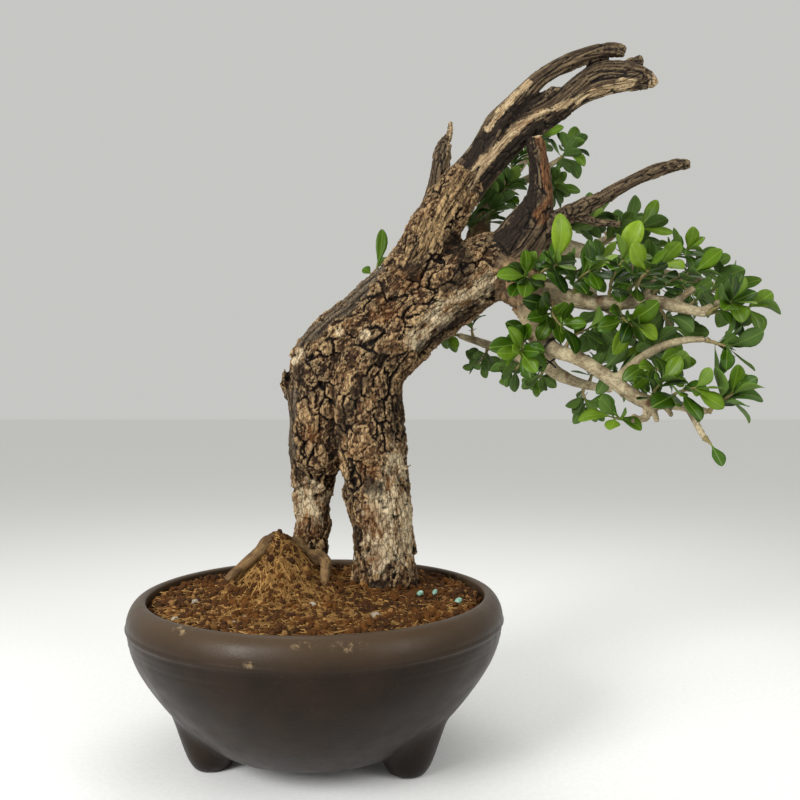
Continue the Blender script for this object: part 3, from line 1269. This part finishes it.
# %% Weathered wood
def weathered_wood():
    """Wood that lost its bark years ago: grey brown fibres, black in the checks and pale on worn ridges."""
    made, shader = new_material("weathered dead olive wood", 0.85, Specular_IOR_Level=0.25)
    fibre = pattern(made, 0.9, 7, 0.65, (1, 1, 0.07), along_wood=True)
    band, hair = pattern(made, 4.5, 5, 0.6, (1, 1, 0.08), along_wood=True), hair_cracks(made, 4.2, (1, 1, 1))
    pale = paint(made, "#76583a", (fibre, 0.38, 0.6, 1, "#cab48d"), (band, 0.45, 0.3, 0.6, "#4d341d"))
    red = paint(made, "#3a2010", (fibre, 0.4, 0.62, 1, "#8a5a33"))
    sooty = add(made, "ShaderNodeAttribute", {}, "Fac", attribute_name="char")
    sooty = add(made, "ShaderNodeMath", {0: sooty, 1: band}, operation="MULTIPLY")
    worn = add(made, "ShaderNodeAttribute", {}, "Fac", attribute_name="bare")
    worn_patch = pattern(made, 6, 7, 0.65, (1, 1, 0.3), along_wood=True)
    worn = add(made, "ShaderNodeMath", {0: worn, 1: worn_patch}, operation="MULTIPLY")
    base = paint(
        made, "#1d130c", (band, 0.36, 0.62, 1, "#433324"), ("tone", 0.5, 0.95, 0.5, "#655440"),
        (fibre, 0.52, 0.7, 0.55, "#857258"), (fibre, 0.46, 0.32, 0.8, "#120b07"),
        ("hollow", -0.06, -0.4, 0.35, "#9a8663"), ("hollow", 0.02, 0.4, 0.9, "#0e0805"),
        (sooty, 0.14, 0.42, 0.85, "#160e08"), ("red", 0.1, 0.8, 0.75, red), (worn, 0.16, 0.38, 0.92, pale),
        (hair, 0.05, 0.0, 0.4, "#100a06"), ("crack", 0.25, 0.8, 0.95, "#0b0604"))
    relief = add(made, "ShaderNodeBump", {"Height": fibre, "Distance": 0.7 * MM, "Strength": 0.8})
    return finish_shader(made, shader, base, relief)


# %% Young bark
def young_bark(name, dark, middle, light):
    """Thin smooth bark with a fine net, brown and ridged where the limb is old."""
    made, shader = new_material(name, 0.8, Specular_IOR_Level=0.25)
    fibre = pattern(made, 1.1, 7, 0.65, (1, 1, 0.2), along_wood=True)
    band, patch = pattern(made, 3.6, 5, 0.6, (1, 1, 0.1), along_wood=True), pattern(made, 11, 5)
    elder = paint(made, "#2a1b10", ("tone", 0.2, 0.8, 1, "#7a5f42"), (band, 0.5, 0.66, 0.5, "#a58a63"))
    base = paint(
        made, dark, ("tone", 0.2, 0.8, 1, middle), (patch, 0.4, 0.65, 0.8, light),
        (fibre, 0.5, 0.7, 0.5, light), (fibre, 0.46, 0.3, 0.6, dark),
        ("hollow", 0.02, 0.35, 0.8, "#33241a"), ("crack", 0.4, 1, 0.45, "#4d3a28"),
        ("knot", 0.4, 0.8, 0.75, "#5a3820"), ("old", 0, 1, 0.95, elder))
    relief = add(made, "ShaderNodeBump", {"Height": fibre, "Distance": 0.5 * MM, "Strength": 0.5})
    return finish_shader(made, shader, base, relief)


# %% Finishes on the wood
trunk.data.materials.append(old_bark())
dead_wood.data.materials.append(weathered_wood())
branches.data.materials.append(young_bark("young olive bark", "#63563d", "#958668", "#c1b491"))
roots.data.materials.append(young_bark("root bark", "#33200d", "#60452a", "#9c7e53"))
dress(trunk, "olive_wood", "tree_wood")
for piece in (dead_wood, branches, roots):
    dress(piece, "olive_wood", "tree_wood")

# %% [markdown]
# ## The leafy stems
#
# Olive leaves stand in pairs, each pair a quarter turn from the last. Every stem is an arched line from its
# limb to its tip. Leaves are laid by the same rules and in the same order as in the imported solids, so that
# each fine leaf stands where its solid stands, and a leaf that would cross the wood or a neighbour tries
# another turn.

# %% Stems
# The limb each stem grows from, the point that its tip reaches and its pairs of leaves.
STEMS = {
    "high_01": ("high_branch", (136, -52, 286), 2),
    "high_02": ("high_branch", (122, -42, 281), 2),
    "high_03": ("high_branch", (152, -62, 281), 3),
    "high_04": ("high_branch", (165, -34, 291), 3),
    "high_05": ("high_branch", (166, -76, 284), 3),
    "high_06": ("high_branch", (176, -86, 277), 3),
    "high_07": ("high_branch", (190, -64, 283), 3),
    "high_08": ("high_branch", (203, -80, 277), 3),
    "high_09": ("high_branch", (214, -96, 260), 2),
    "high_10": ("high_branch", (228, -84, 258), 3),
    "high_11": ("high_branch", (220, -72, 271), 3),
    "high_12": ("high_branch", (196, -66, 249), 2),
    "high_13": ("high_branch", (172, -74, 250), 3),
    "high_14": ("high_branch", (140, -46, 253), 2),
    "under_01": ("under_branch", (192, -34, 243), 2),
    "under_02": ("under_branch", (164, -32, 250), 2),
    "low_01": ("low_branch", (118, -44, 238), 2),
    "low_02": ("low_branch", (154, -50, 251), 3),
    "low_03": ("low_branch", (178, -50, 222), 3),
    "low_04": ("low_branch", (182, -88, 220), 2),
    "low_05": ("low_branch", (196, -98, 217), 2),
    "low_06": ("low_fork_down", (204, -96, 189), 0),
    "low_07": ("low_branch", (214, -98, 214), 2),
    "low_08": ("low_fork_left", (159, -84, 202), 2),
    "low_09": ("low_fork_up", (186, -80, 226), 2),
    "low_10": ("low_fork_up", (216, -88, 238), 1),
    "low_11": ("low_fork_up", (192, -64, 245), 2),
    "left_01": ("left_branch", (134, 6, 226), 3),
    "left_02": ("left_branch", (118, 14, 231), 3),
    "left_04": ("left_branch", (102, 54, 238), 3),
    "left_05": ("left_branch", (83, 84, 262), 3),
    "left_06": ("left_branch", (97, 64, 270), 3),
    "left_07": ("left_branch", (130, 42, 242), 2),
    "left_08": ("left_fork", (176, 6, 236), 3),
    "left_09": ("left_fork", (168, 2, 208), 3),
    "crown_01": ("crown_branch", (104, 40, 352), 3),
    "crown_02": ("crown_branch", (92, 58, 346), 3),
    "crown_03": ("crown_branch", (124, 52, 360), 3),
    "crown_04": ("crown_branch", (112, 62, 376), 3),
    "crown_05": ("crown_branch", (131, 70, 388), 3),
    "crown_06": ("crown_branch", (150, 96, 405), 3),
    "crown_07": ("crown_fork", (174, 96, 397), 3),
    "crown_08": ("crown_fork", (158, 80, 366), 3),
    "right_01": ("right_branch", (172, 14, 327), 3),
    "right_02": ("right_branch", (203, 14, 322), 3),
    "right_03": ("right_branch", (216, 40, 314), 3),
    "right_04": ("right_branch", (229, 6, 306), 3),
    "right_05": ("right_branch", (246, 22, 300), 2),
    "right_06": ("right_branch", (203, 18, 286), 3),
    "right_07": ("right_branch", (232, 6, 278), 2),
    "right_08": ("right_fork", (220, 98, 346), 3),
    "right_09": ("right_fork", (188, 74, 340), 3),
    "trunk_01": ("slant_upper", (36, 44, 303), 1),
    "crown_09": ("crown_branch", (94, 36, 337), 3),
    "crown_10": ("crown_branch", (111, 38, 343), 3),
}

# %% Leaves that stand out
# Each as (stem, tip of the blade, width of the blade).
LEADING_LEAVES = (
    ("high_01", (137, -57, 313), 12.5), ("high_01", (115, -60, 307), 10),
    ("high_02", (104, -46, 281), 9), ("high_05", (173, -82, 303), 11),
    ("high_06", (166, -92, 289), 11), ("high_07", (196, -80, 279), 11),
    ("high_09", (218, -100, 249), 11), ("high_10", (240, -84, 266), 9),
    ("high_10", (235, -90, 256), 9), ("high_10", (231, -90, 244), 9),
    ("high_11", (238, -76, 274), 8), ("high_08", (211, -92, 286), 9),
    ("under_01", (188, -42, 246), 9), ("under_01", (178, -36, 232), 9),
    ("low_01", (110, -50, 252), 8), ("low_01", (104, -46, 238), 8),
    ("low_03", (178, -62, 230), 8), ("low_04", (176, -96, 222), 9),
    ("low_05", (208, -102, 207), 9), ("low_06", (208, -100, 178.5), 7),
    ("low_07", (214, -104, 228), 8), ("low_07", (226, -98, 222), 7),
    ("low_08", (156, -88, 196), 8), ("low_08", (172, -88, 196), 7),
    ("low_09", (201, -84, 231), 8), ("low_09", (172, -84, 228), 8),
    ("low_10", (213, -92, 226), 8), ("crown_06", (169, 92, 413), 9),
    ("crown_06", (151, 84, 414), 7), ("crown_07", (184, 90, 384), 8),
    ("crown_08", (178, 78, 362), 8), ("right_02", (211, 10, 338), 9),
    ("right_02", (222, 12, 318), 8), ("right_04", (230, 0, 319), 9),
    ("trunk_01", (38, 46, 328), 8), ("trunk_01", (25, 44, 301), 6.5),
    ("left_05", (90, 76, 250), 8), ("left_04", (98, 62, 233), 8),
    ("left_02", (118, 24, 222), 8), ("left_01", (136, 2, 217), 8),
)
print(len(STEMS), "stems carry", len(LEADING_LEAVES), "leaves that stand out")

# %% The curve of a stem
STEM_LEAN = 0.6        # how much a stem prefers to lean forwards along its limb
STEM_UPRIGHT = 0.75    # and how squarely it stands off the limb there
TIP_UPRIGHT = 0.2      # the same at the limb's own end
STEM_ARCH = 0.4        # where along its length it bends to its tip

Leaf = namedtuple("Leaf", "base along face length width age")
Stem = namedtuple("Stem", "name root curve reach")


def along_curve(curve, t):
    """Point and direction of a three-point curve at t."""
    a, b, c = curve
    place = a * (1 - t) ** 2 + b * 2 * t * (1 - t) + c * t * t
    return place, ((b - a) * (1 - t) + (c - b) * t).normalized()


def stem_at(name):
    """Where a leafy stem leaves its limb, and the curve of its axis from there."""
    limb, tip, _ = STEMS[name]
    tip = Vector(tip)
    rows = smooth_path(LIMBS[limb][1], 2)
    costs = []
    for k, row in enumerate(rows):
        along = Vector((rows[min(k + 1, len(rows) - 1)] - rows[max(k - 1, 0)])[:3]).normalized()
        away = tip - Vector(row[:3])
        costs.append((away.length - STEM_LEAN * away.dot(along), k, along))
    _, k, along = min(costs, key=lambda entry: entry[0])
    root = Vector(rows[k][:3])
    away = tip - root
    outward = away - along * away.dot(along) * (TIP_UPRIGHT if k == len(rows) - 1 else STEM_UPRIGHT)
    outward.normalize()
    skin = root + outward * rows[k][3]
    bend = skin + outward * (tip - skin).length * STEM_ARCH
    return Stem(name, root, (skin, bend, tip), (tip - skin).length)


def leaf_from(base, along, facing, length, width, age):
    """A leaf with its upper face turned as near to facing as it can be."""
    along = along.normalized()
    face = facing - along * facing.dot(along)
    return Leaf(base, along, face.normalized(), length, width, age)


# %% Where the leaves want to stand
LEAF_LENGTHS = (15, 21.5)
SHADE_LEAF = 0.78      # the share of their size that leaves in the crown's shade reach
LEAF_SLENDER = 0.53    # width out of length
TIP_SPREAD = 34        # degrees between the first pair's leaves and the stem
PAIR_SPREAD = 56       # and the other pairs'
LIGHT_PULL = 0.12      # how much a leaf turns up to the light
FIRST_PAIR = 0.97      # share of the stem at which its last leaves stand
PAIR_REACH = 0.72      # share of the stem that its pairs cover
PAIR_AGES = (0.62, 0.42, 0.28)   # from the tip down, where 1 is a new leaf and 0 an old one
# What a leaf tries in turn where its neighbours are in the way: swing, pitch and scale.
LEAF_CHOICES = (
    (0, 0, 1), (22, 0, 1), (-22, 0, 1), (0, -14, 0.95), (45, 6, 0.92), (-45, 6, 0.92),
    (0, 18, 0.88), (30, -20, 0.84), (-30, -20, 0.84), (68, 10, 0.8), (-68, 10, 0.8),
    (15, -28, 0.76), (-15, 24, 0.76),
)


def frame_of(along):
    """Two directions across a stem, the first one level."""
    across = along.cross(Vector((0, 0, 1)))
    across = (across if across.length > 0.1 else along.orthogonal()).normalized()
    return across, across.cross(along)


def pair_leaf(stem, t, angle, open_angle, size, age):
    """One leaf of a pair: angle turns it round the stem, open_angle away from it."""
    base, along = along_curve(stem.curve, t)
    across, over = frame_of(along)
    spoke = across * math.cos(angle) + over * math.sin(angle)
    up = Vector((0, 0, 1))
    aim = along * math.cos(open_angle) + spoke * math.sin(open_angle) + up * LIGHT_PULL
    facing = along * 0.8 + up * 0.7 - spoke * 0.2
    return leaf_from(base, aim, facing, size, size * LEAF_SLENDER, age)


def shade_of(stem):
    """The share of their full size that the leaves of a stem reach."""
    return SHADE_LEAF if stem.name.startswith(("left", "trunk")) else 1


def wanted_leaves(stem, draws):
    """The leading leaves of a stem, then pairs up its length, each a quarter turn on."""
    front = Vector((0, -1, 0.45))
    wanted = []
    for name, tip, width in LEADING_LEAVES:
        if name != stem.name:
            continue
        tip = Vector(tip)
        t = min((0.75, 0.85, 0.95), key=lambda u: (along_curve(stem.curve, u)[0] - tip).length)
        base, _ = along_curve(stem.curve, t)
        age = 0.95 if width > 9.5 else 0.6
        wanted.append([leaf_from(base, tip - base, front, (tip - base).length, width, age)])
    count = STEMS[stem.name][2]
    turn = draws.uniform(0, 180)
    for k in range(count):
        t = FIRST_PAIR - PAIR_REACH * k / max(1, count - 0.4)
        length = draws.uniform(*LEAF_LENGTHS) * shade_of(stem) * (0.85 if k == 0 else 1)
        spread_angle = TIP_SPREAD if k == 0 else PAIR_SPREAD
        age = PAIR_AGES[min(k, 2)] * (0.8 if shade_of(stem) < 1 else 1)
        for sign in (0, 180):
            choices = []
            for swing, pitch, scale in LEAF_CHOICES:
                angle = math.radians(turn + 90 * k + sign + swing)
                open_angle = math.radians(spread_angle + pitch)
                choices.append(pair_leaf(stem, t, angle, open_angle, length * scale, age))
            wanted.append(choices)
    return wanted


# %% The solid of a leaf
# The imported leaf: corners as shares of its length and half width, the faces of its top, and its two sizes.
BLADE_CORNERS = ((0, 0), (0.4, -0.88), (0.78, -0.9), (1, 0), (0.78, 0.9), (0.4, 0.88))
BLADE_TOP = ((0, 1, 5), (1, 3, 5), (1, 2, 3), (3, 4, 5))
BLADE_THICK = 0.7
BLADE_ARCH = 0.2


def blade_solid(leaf, grow, start=0.0):
    """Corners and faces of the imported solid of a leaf, swelled a little; start leaves its foot out."""
    side = leaf.face.cross(leaf.along)
    half = leaf.width / 2
    over = leaf.face * (BLADE_THICK / 2 + grow)
    verts = []
    for along, across in BLADE_CORNERS:
        reach = max(along, start) * leaf.length + (grow if along == 1 else 0)
        lift = abs(across) * half * BLADE_ARCH
        verts.append(leaf.base + leaf.along * reach + side * across * (half + grow) + leaf.face * lift)
    count = len(verts)
    verts = [v + over for v in verts] + [v - over for v in verts]
    faces = []
    for a, b, c in BLADE_TOP:
        faces += [(a, b, c), (count + a, count + c, count + b)]
    for k in range(count):
        after = (k + 1) % count
        faces.append((k, count + k, count + after, after))
    return verts, faces


def tree_of(verts, faces):
    """Search tree of a small mesh in millimetres."""
    return BVHTree.FromPolygons([tuple(v) for v in verts], [tuple(f) for f in faces])


# %% Keeping leaves clear of wood and of each other
LEAF_CLEARANCE = 0.5
WOOD_CLEARANCE = 1.9


def limb_capsules():
    """Every limb's pieces as arrays: start, span, squared length and both radii."""
    starts, ends = [], []
    for _, rows in LIMBS.values():
        rows = smooth_path(rows, 6)
        starts.append(rows[:-1])
        ends.append(rows[1:])
    starts = np.vstack(starts)
    ends = np.vstack(ends)
    spans = (ends - starts)[:, :3]
    return starts[:, :3], spans, (spans ** 2).sum(1), starts[:, 3], ends[:, 3]


CAPSULES = limb_capsules()


def clear_of_wood(leaf):
    """Whether the blade's outer part keeps its distance from every limb."""
    side = leaf.face.cross(leaf.along) * leaf.width / 2
    lift = leaf.face * leaf.width / 2 * BLADE_ARCH
    tests = [leaf.base + leaf.along * leaf.length * t for t in (0.3, 0.65, 1)]
    for t in (0.4, 0.78):
        for sign in (-0.8, 0.8):
            tests.append(leaf.base + leaf.along * leaf.length * t + side * sign + lift * 0.8)
    points = np.array([tuple(p) for p in tests])
    starts, spans, lengths, first, last = CAPSULES
    gap = points[:, None, :] - starts[None]
    t = np.clip((gap * spans).sum(2) / lengths, 0, 1)
    away = np.linalg.norm(gap - t[..., None] * spans, axis=2)
    return bool(np.all(away - first - t * (last - first) > WOOD_CLEARANCE))


def leaf_entry(name, leaf, clearance=LEAF_CLEARANCE):
    """A leaf with the two search trees that its neighbours are tested against."""
    middle = leaf.base + leaf.along * leaf.length / 2
    whole = tree_of(*blade_solid(leaf, clearance))
    outer = tree_of(*blade_solid(leaf, clearance, 0.3))
    return name, middle, leaf.length / 2 + 2, whole, outer


def clear_of_others(entry, placed_leaves):
    """Whether a leaf crosses no stem or leaf; near its own stem only its outer part counts."""
    name, middle, size, whole, outer = entry
    for other_name, other_middle, other_size, other_whole, other_outer in placed_leaves:
        if (middle - other_middle).length > size + other_size:
            continue
        if other_name == name:
            if outer.overlap(other_outer or other_whole):
                return False
        elif whole.overlap(other_whole):
            return False
    return True


# %% [markdown]
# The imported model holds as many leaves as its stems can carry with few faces. The real crown is denser, so
# a second pass tries more leaves along each stem and keeps those that find room inside the model's box.

# %% Lay the leaves
SEED = 4
STEM_SOLID = (1.5, 1.0, 3, 3)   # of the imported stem: first and last radius, rings and sides
STEM_CLEARANCE = 0.5
EXTRA_TRIES = 55
CROWN_TRIES = 260
OPEN_STEMS = ("low_06", "low_08", "trunk_01")   # these show few leaves
EXTRA_CLEARANCE = 0.15
EXTRA_SIZES = (0.75, 1.05)      # out of a full leaf
EXTRA_SPREAD = (15, 85)         # degrees off the stem
EXTRA_PLACES = (0.12, 1)        # out of the stem's length
EXTRA_AGES = (0.05, 0.45)
BOX_MARGIN = 0.001              # metres


def lay_leaves():
    """Every stem's leaves, chosen so that none crosses the wood or a neighbour."""
    draws = random.Random(SEED)
    stems = [stem_at(name) for name in STEMS]
    first, last, rings, sides = STEM_SOLID
    entries = []
    for stem in stems:
        rows = []
        for k in range(rings):
            t = k / (rings - 1)
            rows.append((*along_curve(stem.curve, t)[0], first + (last - first) * t + STEM_CLEARANCE))
        middle = along_curve(stem.curve, 0.5)[0]
        entries.append((stem.name, middle, stem.reach / 2 + 4, tree_of(*tube_mesh(rows, sides)), None))
    leaves = {stem.name: [] for stem in stems}
    orders = [(stem, wanted_leaves(stem, draws)) for stem in stems]
    for turn in range(max(len(wanted) for _, wanted in orders)):
        for stem, wanted in orders:
            for leaf in wanted[turn] if turn < len(wanted) else []:
                entry = leaf_entry(stem.name, leaf)
                if clear_of_wood(leaf) and clear_of_others(entry, entries):
                    entries.append(entry)
                    leaves[stem.name].append(leaf)
                    break
    return stems, leaves, entries


def inside_box(leaf):
    """Whether a leaf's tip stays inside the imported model's box."""
    tip = placed(leaf.base + leaf.along * leaf.length)
    return all(low + BOX_MARGIN < c < high - BOX_MARGIN for low, c, high in zip(cad_low, tip, cad_high))


def lay_more(stems, leaves, entries):
    """Fill the gaps with smaller, older leaves."""
    draws = random.Random(SEED + 1)
    for stem in stems:
        for _ in range(CROWN_TRIES if stem.name.startswith("crown") else EXTRA_TRIES):
            if stem.name in OPEN_STEMS:
                continue
            size = draws.uniform(*LEAF_LENGTHS) * shade_of(stem) * draws.uniform(*EXTRA_SIZES)
            angle = draws.uniform(0, 2 * math.pi)
            open_angle = math.radians(draws.uniform(*EXTRA_SPREAD))
            t = draws.uniform(*EXTRA_PLACES)
            leaf = pair_leaf(stem, t, angle, open_angle, size, draws.uniform(*EXTRA_AGES))
            if not inside_box(leaf):
                continue
            entry = leaf_entry(stem.name, leaf, EXTRA_CLEARANCE)
            if clear_of_wood(leaf) and clear_of_others(entry, entries):
                entries.append(entry)
                leaves[stem.name].append(leaf)


stems, leaves, entries = lay_leaves()
solid_leaves = sum(len(found) for found in leaves.values())
lay_more(stems, leaves, entries)
more_leaves = sum(len(found) for found in leaves.values()) - solid_leaves
print(solid_leaves, "leaves stand on their solids and", more_leaves, "more fill the gaps")

# %% [markdown]
# One leaf is modelled once: a flat grid is narrowed to a leaf's outline, folded a little along its midrib
# and given its thickness. Each copy is then arched, twisted and cupped in its own way as it is put in
# place.

# %% One leaf
BLADE_ROWS = 8
BLADE_COLUMNS = 4
PETIOLE = 0.09           # the leaf's stalk, out of its length
PETIOLE_WIDTH = 0.075    # out of its width
LEAF_FOLD = 0.17         # slope of its two halves up from the midrib
LEAF_THICKNESS = 0.018   # of its length


def half_width(t):
    """Half of a leaf's width at a share of its length, out of its widest: broadest past the middle."""
    if t < PETIOLE:
        return PETIOLE_WIDTH
    u = min(1, (t - PETIOLE) / (1 - PETIOLE))
    bulge = math.sin(math.pi * u ** 1.3)
    return max(0.14 if u > 0.9 else 0, bulge ** (0.55 if u > 0.587 else 0.95), PETIOLE_WIDTH * (1 - 3 * u))


def model_leaf():
    """A leaf of length 1 and width 1 along +X, face up: its corners, its faces, and which corners are below.

    The grid's rows are closer together towards the tip, where the outline bends most.
    """
    bpy.ops.mesh.primitive_grid_add(
        x_subdivisions=BLADE_ROWS, y_subdivisions=BLADE_COLUMNS, size=1, location=(0, 0, 0))
    leaf = bpy.context.object
    for corner in leaf.data.vertices:
        t, across = corner.co.x + 0.5, corner.co.y * 2
        t = 1 - (1 - t) ** 1.5
        wide = half_width(t) * 0.5
        corner.co = (t, across * wide, 0)
    only(leaf)
    bpy.ops.object.mode_set(mode="EDIT")
    bpy.ops.mesh.select_all(action="SELECT")
    bpy.ops.mesh.normals_make_consistent(inside=False)
    bpy.ops.object.mode_set(mode="OBJECT")
    modify(leaf, "SOLIDIFY", thickness=LEAF_THICKNESS, offset=0)
    corners = np.array([v.co[:] for v in leaf.data.vertices])
    under = (corners[:, 2] < 0).astype(float)
    corners[:, 2] += LEAF_FOLD * np.abs(corners[:, 1])
    faces = [tuple(f.vertices) for f in leaf.data.polygons]
    bpy.data.objects.remove(leaf)
    return corners, faces, under


LEAF_CORNERS, LEAF_FACES, LEAF_UNDER = model_leaf()
print("one leaf has", len(LEAF_FACES), "faces")

# %% Twigs and bent leaves
TWIG_RADII = (1.15, 0.62)
TWIG_SIDES = 6
TWIG_RINGS = 9
TWIG_WANDER = 0.35


def shaped_leaf(leaf, draws):
    """Corners in millimetres of one copy of the leaf, arched, twisted and waved."""
    t, across, over = LEAF_CORNERS.T
    arch = draws.gauss(0.05, 0.06)
    twist = draws.gauss(0, 0.28) * t
    cup = draws.uniform(-0.05, 0.14)
    wave = 0.05 * np.sin(t * draws.uniform(7, 12) + draws.uniform(0, 6)) * np.abs(across)
    over = over + wave + cup * across ** 2 * 2
    wide = across * np.cos(twist) * leaf.width - over * np.sin(twist) * leaf.width
    deep = across * np.sin(twist) * leaf.width + over * np.cos(twist) * leaf.width
    droop = 0.06 * leaf.length * np.maximum(0, t - 0.75) ** 2 * 4
    deep = deep + 4 * arch * t * (1 - t) * leaf.length - droop
    side = np.array(leaf.face.cross(leaf.along))
    sway = draws.gauss(0, 0.05) * 4 * t * (1 - t) * leaf.length
    return (np.array(leaf.base) + np.outer(t * leaf.length, leaf.along)
            + np.outer(wide + sway, side) + np.outer(deep, leaf.face))


def twig_rows(stem):
    """(x, y, z, radius) rows of a twig that swells a little at its leaf nodes."""
    rows = [(*stem.root, TWIG_RADII[0] * 1.5)]
    for k in range(TWIG_RINGS):
        t = k / (TWIG_RINGS - 1)
        place, along = along_curve(stem.curve, t)
        across, over = frame_of(along)
        wander = TWIG_WANDER * math.sin(k * 1.9 + stem.reach) * (1 - t)
        size = TWIG_RADII[0] + (TWIG_RADII[1] - TWIG_RADII[0]) * t ** 0.7
        size *= 1.12 if k % 3 == 0 else 0.95
        rows.append((*(place + across * wander + over * wander * 0.6), size))
    return rows


# %% Putting the stems together
TWIG_LOOK, LEAF_LOOK = 0, 1   # which of a stem's two materials a face wears


def build_stem(stem, stem_leaves):
    """One leafy stem as one piece: its twig and its leaves, with their numbers on the corners."""
    draws = random.Random(stem.name)
    verts, faces = tube_mesh(twig_rows(stem), TWIG_SIDES)
    verts = [tuple(v) for v in verts]
    looks = [TWIG_LOOK] * len(faces)
    marks = {
        "age": [0] * len(verts), "tone": [draws.random()] * len(verts), "under": [0] * len(verts),
        "blade_along": [0] * len(verts), "blade_across": [0] * len(verts)}
    for leaf in stem_leaves:
        faces += [tuple(c + len(verts) for c in face) for face in LEAF_FACES]
        looks += [LEAF_LOOK] * len(LEAF_FACES)
        verts += [tuple(c) for c in shaped_leaf(leaf, draws)]
        marks["age"] += [min(1, max(0, leaf.age + draws.gauss(0, 0.1)))] * len(LEAF_CORNERS)
        marks["tone"] += [draws.random()] * len(LEAF_CORNERS)
        marks["under"] += LEAF_UNDER.tolist()
        marks["blade_along"] += LEAF_CORNERS[:, 0].tolist()
        marks["blade_across"] += np.abs(LEAF_CORNERS[:, 1]).tolist()
    piece = piece_from("leafy_" + stem.name, verts, faces)
    for name, values in marks.items():
        mark(piece, name, values)
    piece.data.polygons.foreach_set("material_index", looks)
    piece.data.shade_smooth()
    return piece


# %% [markdown]
# A living olive leaf has a waxy upper side with a soft gloss, a pale midrib and a duller, greyer underside.
# New leaves are yellow green and old ones dark, so the age of each leaf sets its colour. The young stems
# are green bark that turns beige towards the branch.

# %% Leaf and twig materials
VEIN_COUNT = 26.0   # radians of vein pattern along a leaf, about four pairs of side veins
VEIN_SLANT = 5.0


def waxy_leaf():
    """Leathery green under a coat of wax, which spreads the gloss softly."""
    made, shader = new_material("waxy olive leaf", 0.44, Specular_IOR_Level=0.16)
    mottle = pattern(made, 4, 3)
    along = add(made, "ShaderNodeAttribute", {}, "Fac", attribute_name="blade_along")
    across = add(made, "ShaderNodeAttribute", {}, "Fac", attribute_name="blade_across")
    base = paint(
        made, "#1c3106", ("age", 0.0, 0.5, 1, "#3c5d0b"), ("age", 0.5, 0.95, 1, "#809c29"),
        ("tone", 0.6, 1, 0.45, "#132f0e"), ("tone", 0.3, 0, 0.45, "#55700f"),
        (mottle, 0.4, 0.7, 0.25, "#203b09"), (across, 0.04, 0.012, 0.4, "#87a043"),
        (along, 0.16, 0.05, 0.6, "#86964a"), ("under", 0, 1, 0.4, "#5f7840"))
    slant = add(made, "ShaderNodeMath", {0: across, 1: VEIN_SLANT}, operation="MULTIPLY")
    phase = add(made, "ShaderNodeMath", {0: along, 1: -VEIN_COUNT, 2: slant}, operation="MULTIPLY_ADD")
    veins = add(made, "ShaderNodeMath", {0: phase}, operation="SINE")
    relief = add(made, "ShaderNodeBump", {"Height": veins, "Distance": 0.03 * MM, "Strength": 0.6})
    under = add(made, "ShaderNodeAttribute", {}, "Fac", attribute_name="under")
    gloss = add(made, "ShaderNodeMapRange", {0: under, 1: 0.0, 2: 1.0, 3: 0.36, 4: 0.62})
    return finish_shader(made, shader, base, relief, gloss)


def green_twig():
    """Bark of this year: thin and green, with brown streaks."""
    made, shader = new_material("young green olive bark", 0.7, Specular_IOR_Level=0.3)
    streak = pattern(made, 2)
    base = paint(made, "#6c6c3a", ("tone", 0, 1, 1, "#94845c"), (streak, 0.4, 0.7, 0.5, "#6e5536"))
    relief = add(made, "ShaderNodeBump", {"Height": streak, "Distance": 0.15 * MM})
    return finish_shader(made, shader, base, relief)


leaf_look, twig_look = waxy_leaf(), green_twig()
for stem in stems:
    piece = build_stem(stem, leaves[stem.name])
    piece.data.materials.append(twig_look)
    piece.data.materials.append(leaf_look)
    dress(piece, "leaf", "stem_" + stem.name)

# %% [markdown]
# ## The training wire
#
# A grower bends a branch with soft wire. This one is a dark loop round the low branch with two loose ends.
# It is a round tube along a helix whose ends run out. The wire is aluminium with a black anodised skin,
# which is satin and is scuffed grey where pliers held it.

# %% Wire
WIRE_RADIUS = 0.55
WIRE_CENTRE = Vector((137, -34, 241))
WIRE_ALONG = Vector((18, -22, -12)).normalized()
WIRE_LOOP = 6.6
WIRE_TAIL_RIGHT = Vector((137, -44, 230))
WIRE_TAIL_LEFT = Vector((126, -40, 228))
WIRE_TURN = range(-70, 251, 16)   # degrees from one loose end to the other
WIRE_CLIMB = 160                  # degrees for each millimetre along the branch
WIRE_STEP = 1.5
WIRE_SIDES = 10


def wind_wire():
    """The wire's centre line, then a round tube along it."""
    across = WIRE_ALONG.cross(Vector((0, 0, 1))).normalized()
    over = across.cross(WIRE_ALONG)
    points = [WIRE_TAIL_RIGHT, (WIRE_TAIL_RIGHT * 2 + WIRE_CENTRE - over * WIRE_LOOP) / 3]
    for degrees in WIRE_TURN:
        angle = math.radians(degrees)
        spoke = across * math.cos(angle) + over * math.sin(angle)
        points.append(WIRE_CENTRE + spoke * WIRE_LOOP + WIRE_ALONG * (degrees / WIRE_CLIMB - 0.6))
    points.append(WIRE_TAIL_LEFT)
    rows = smooth_path([(*p, WIRE_RADIUS) for p in points], WIRE_STEP)
    wire = piece_from("loop_wire", *tube_mesh(rows, WIRE_SIDES))
    wire.data.shade_smooth()
    return wire


wire = wind_wire()
wire_coat, wire_shader = new_material("black anodised aluminium wire", 0.38, Metallic=0.6)
scuff = pattern(wire_coat, 1.5)
wire_base = paint(wire_coat, "#141414", (scuff, 0.5, 0.75, 1, "#4a4a4c"))
wire_relief = add(wire_coat, "ShaderNodeBump", {"Height": scuff, "Distance": 0.05 * MM})
wire.data.materials.append(finish_shader(wire_coat, wire_shader, wire_base, wire_relief))
dress(wire, "wire", "training_wire")

# %% [markdown]
# Last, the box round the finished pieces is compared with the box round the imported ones. They should differ
# by less than a millimetre, because every fine piece stands where its solid stands.

# %% Sizes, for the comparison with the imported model
print("the packed model's box is", [round(c, 4) for c in cad_high - cad_low])
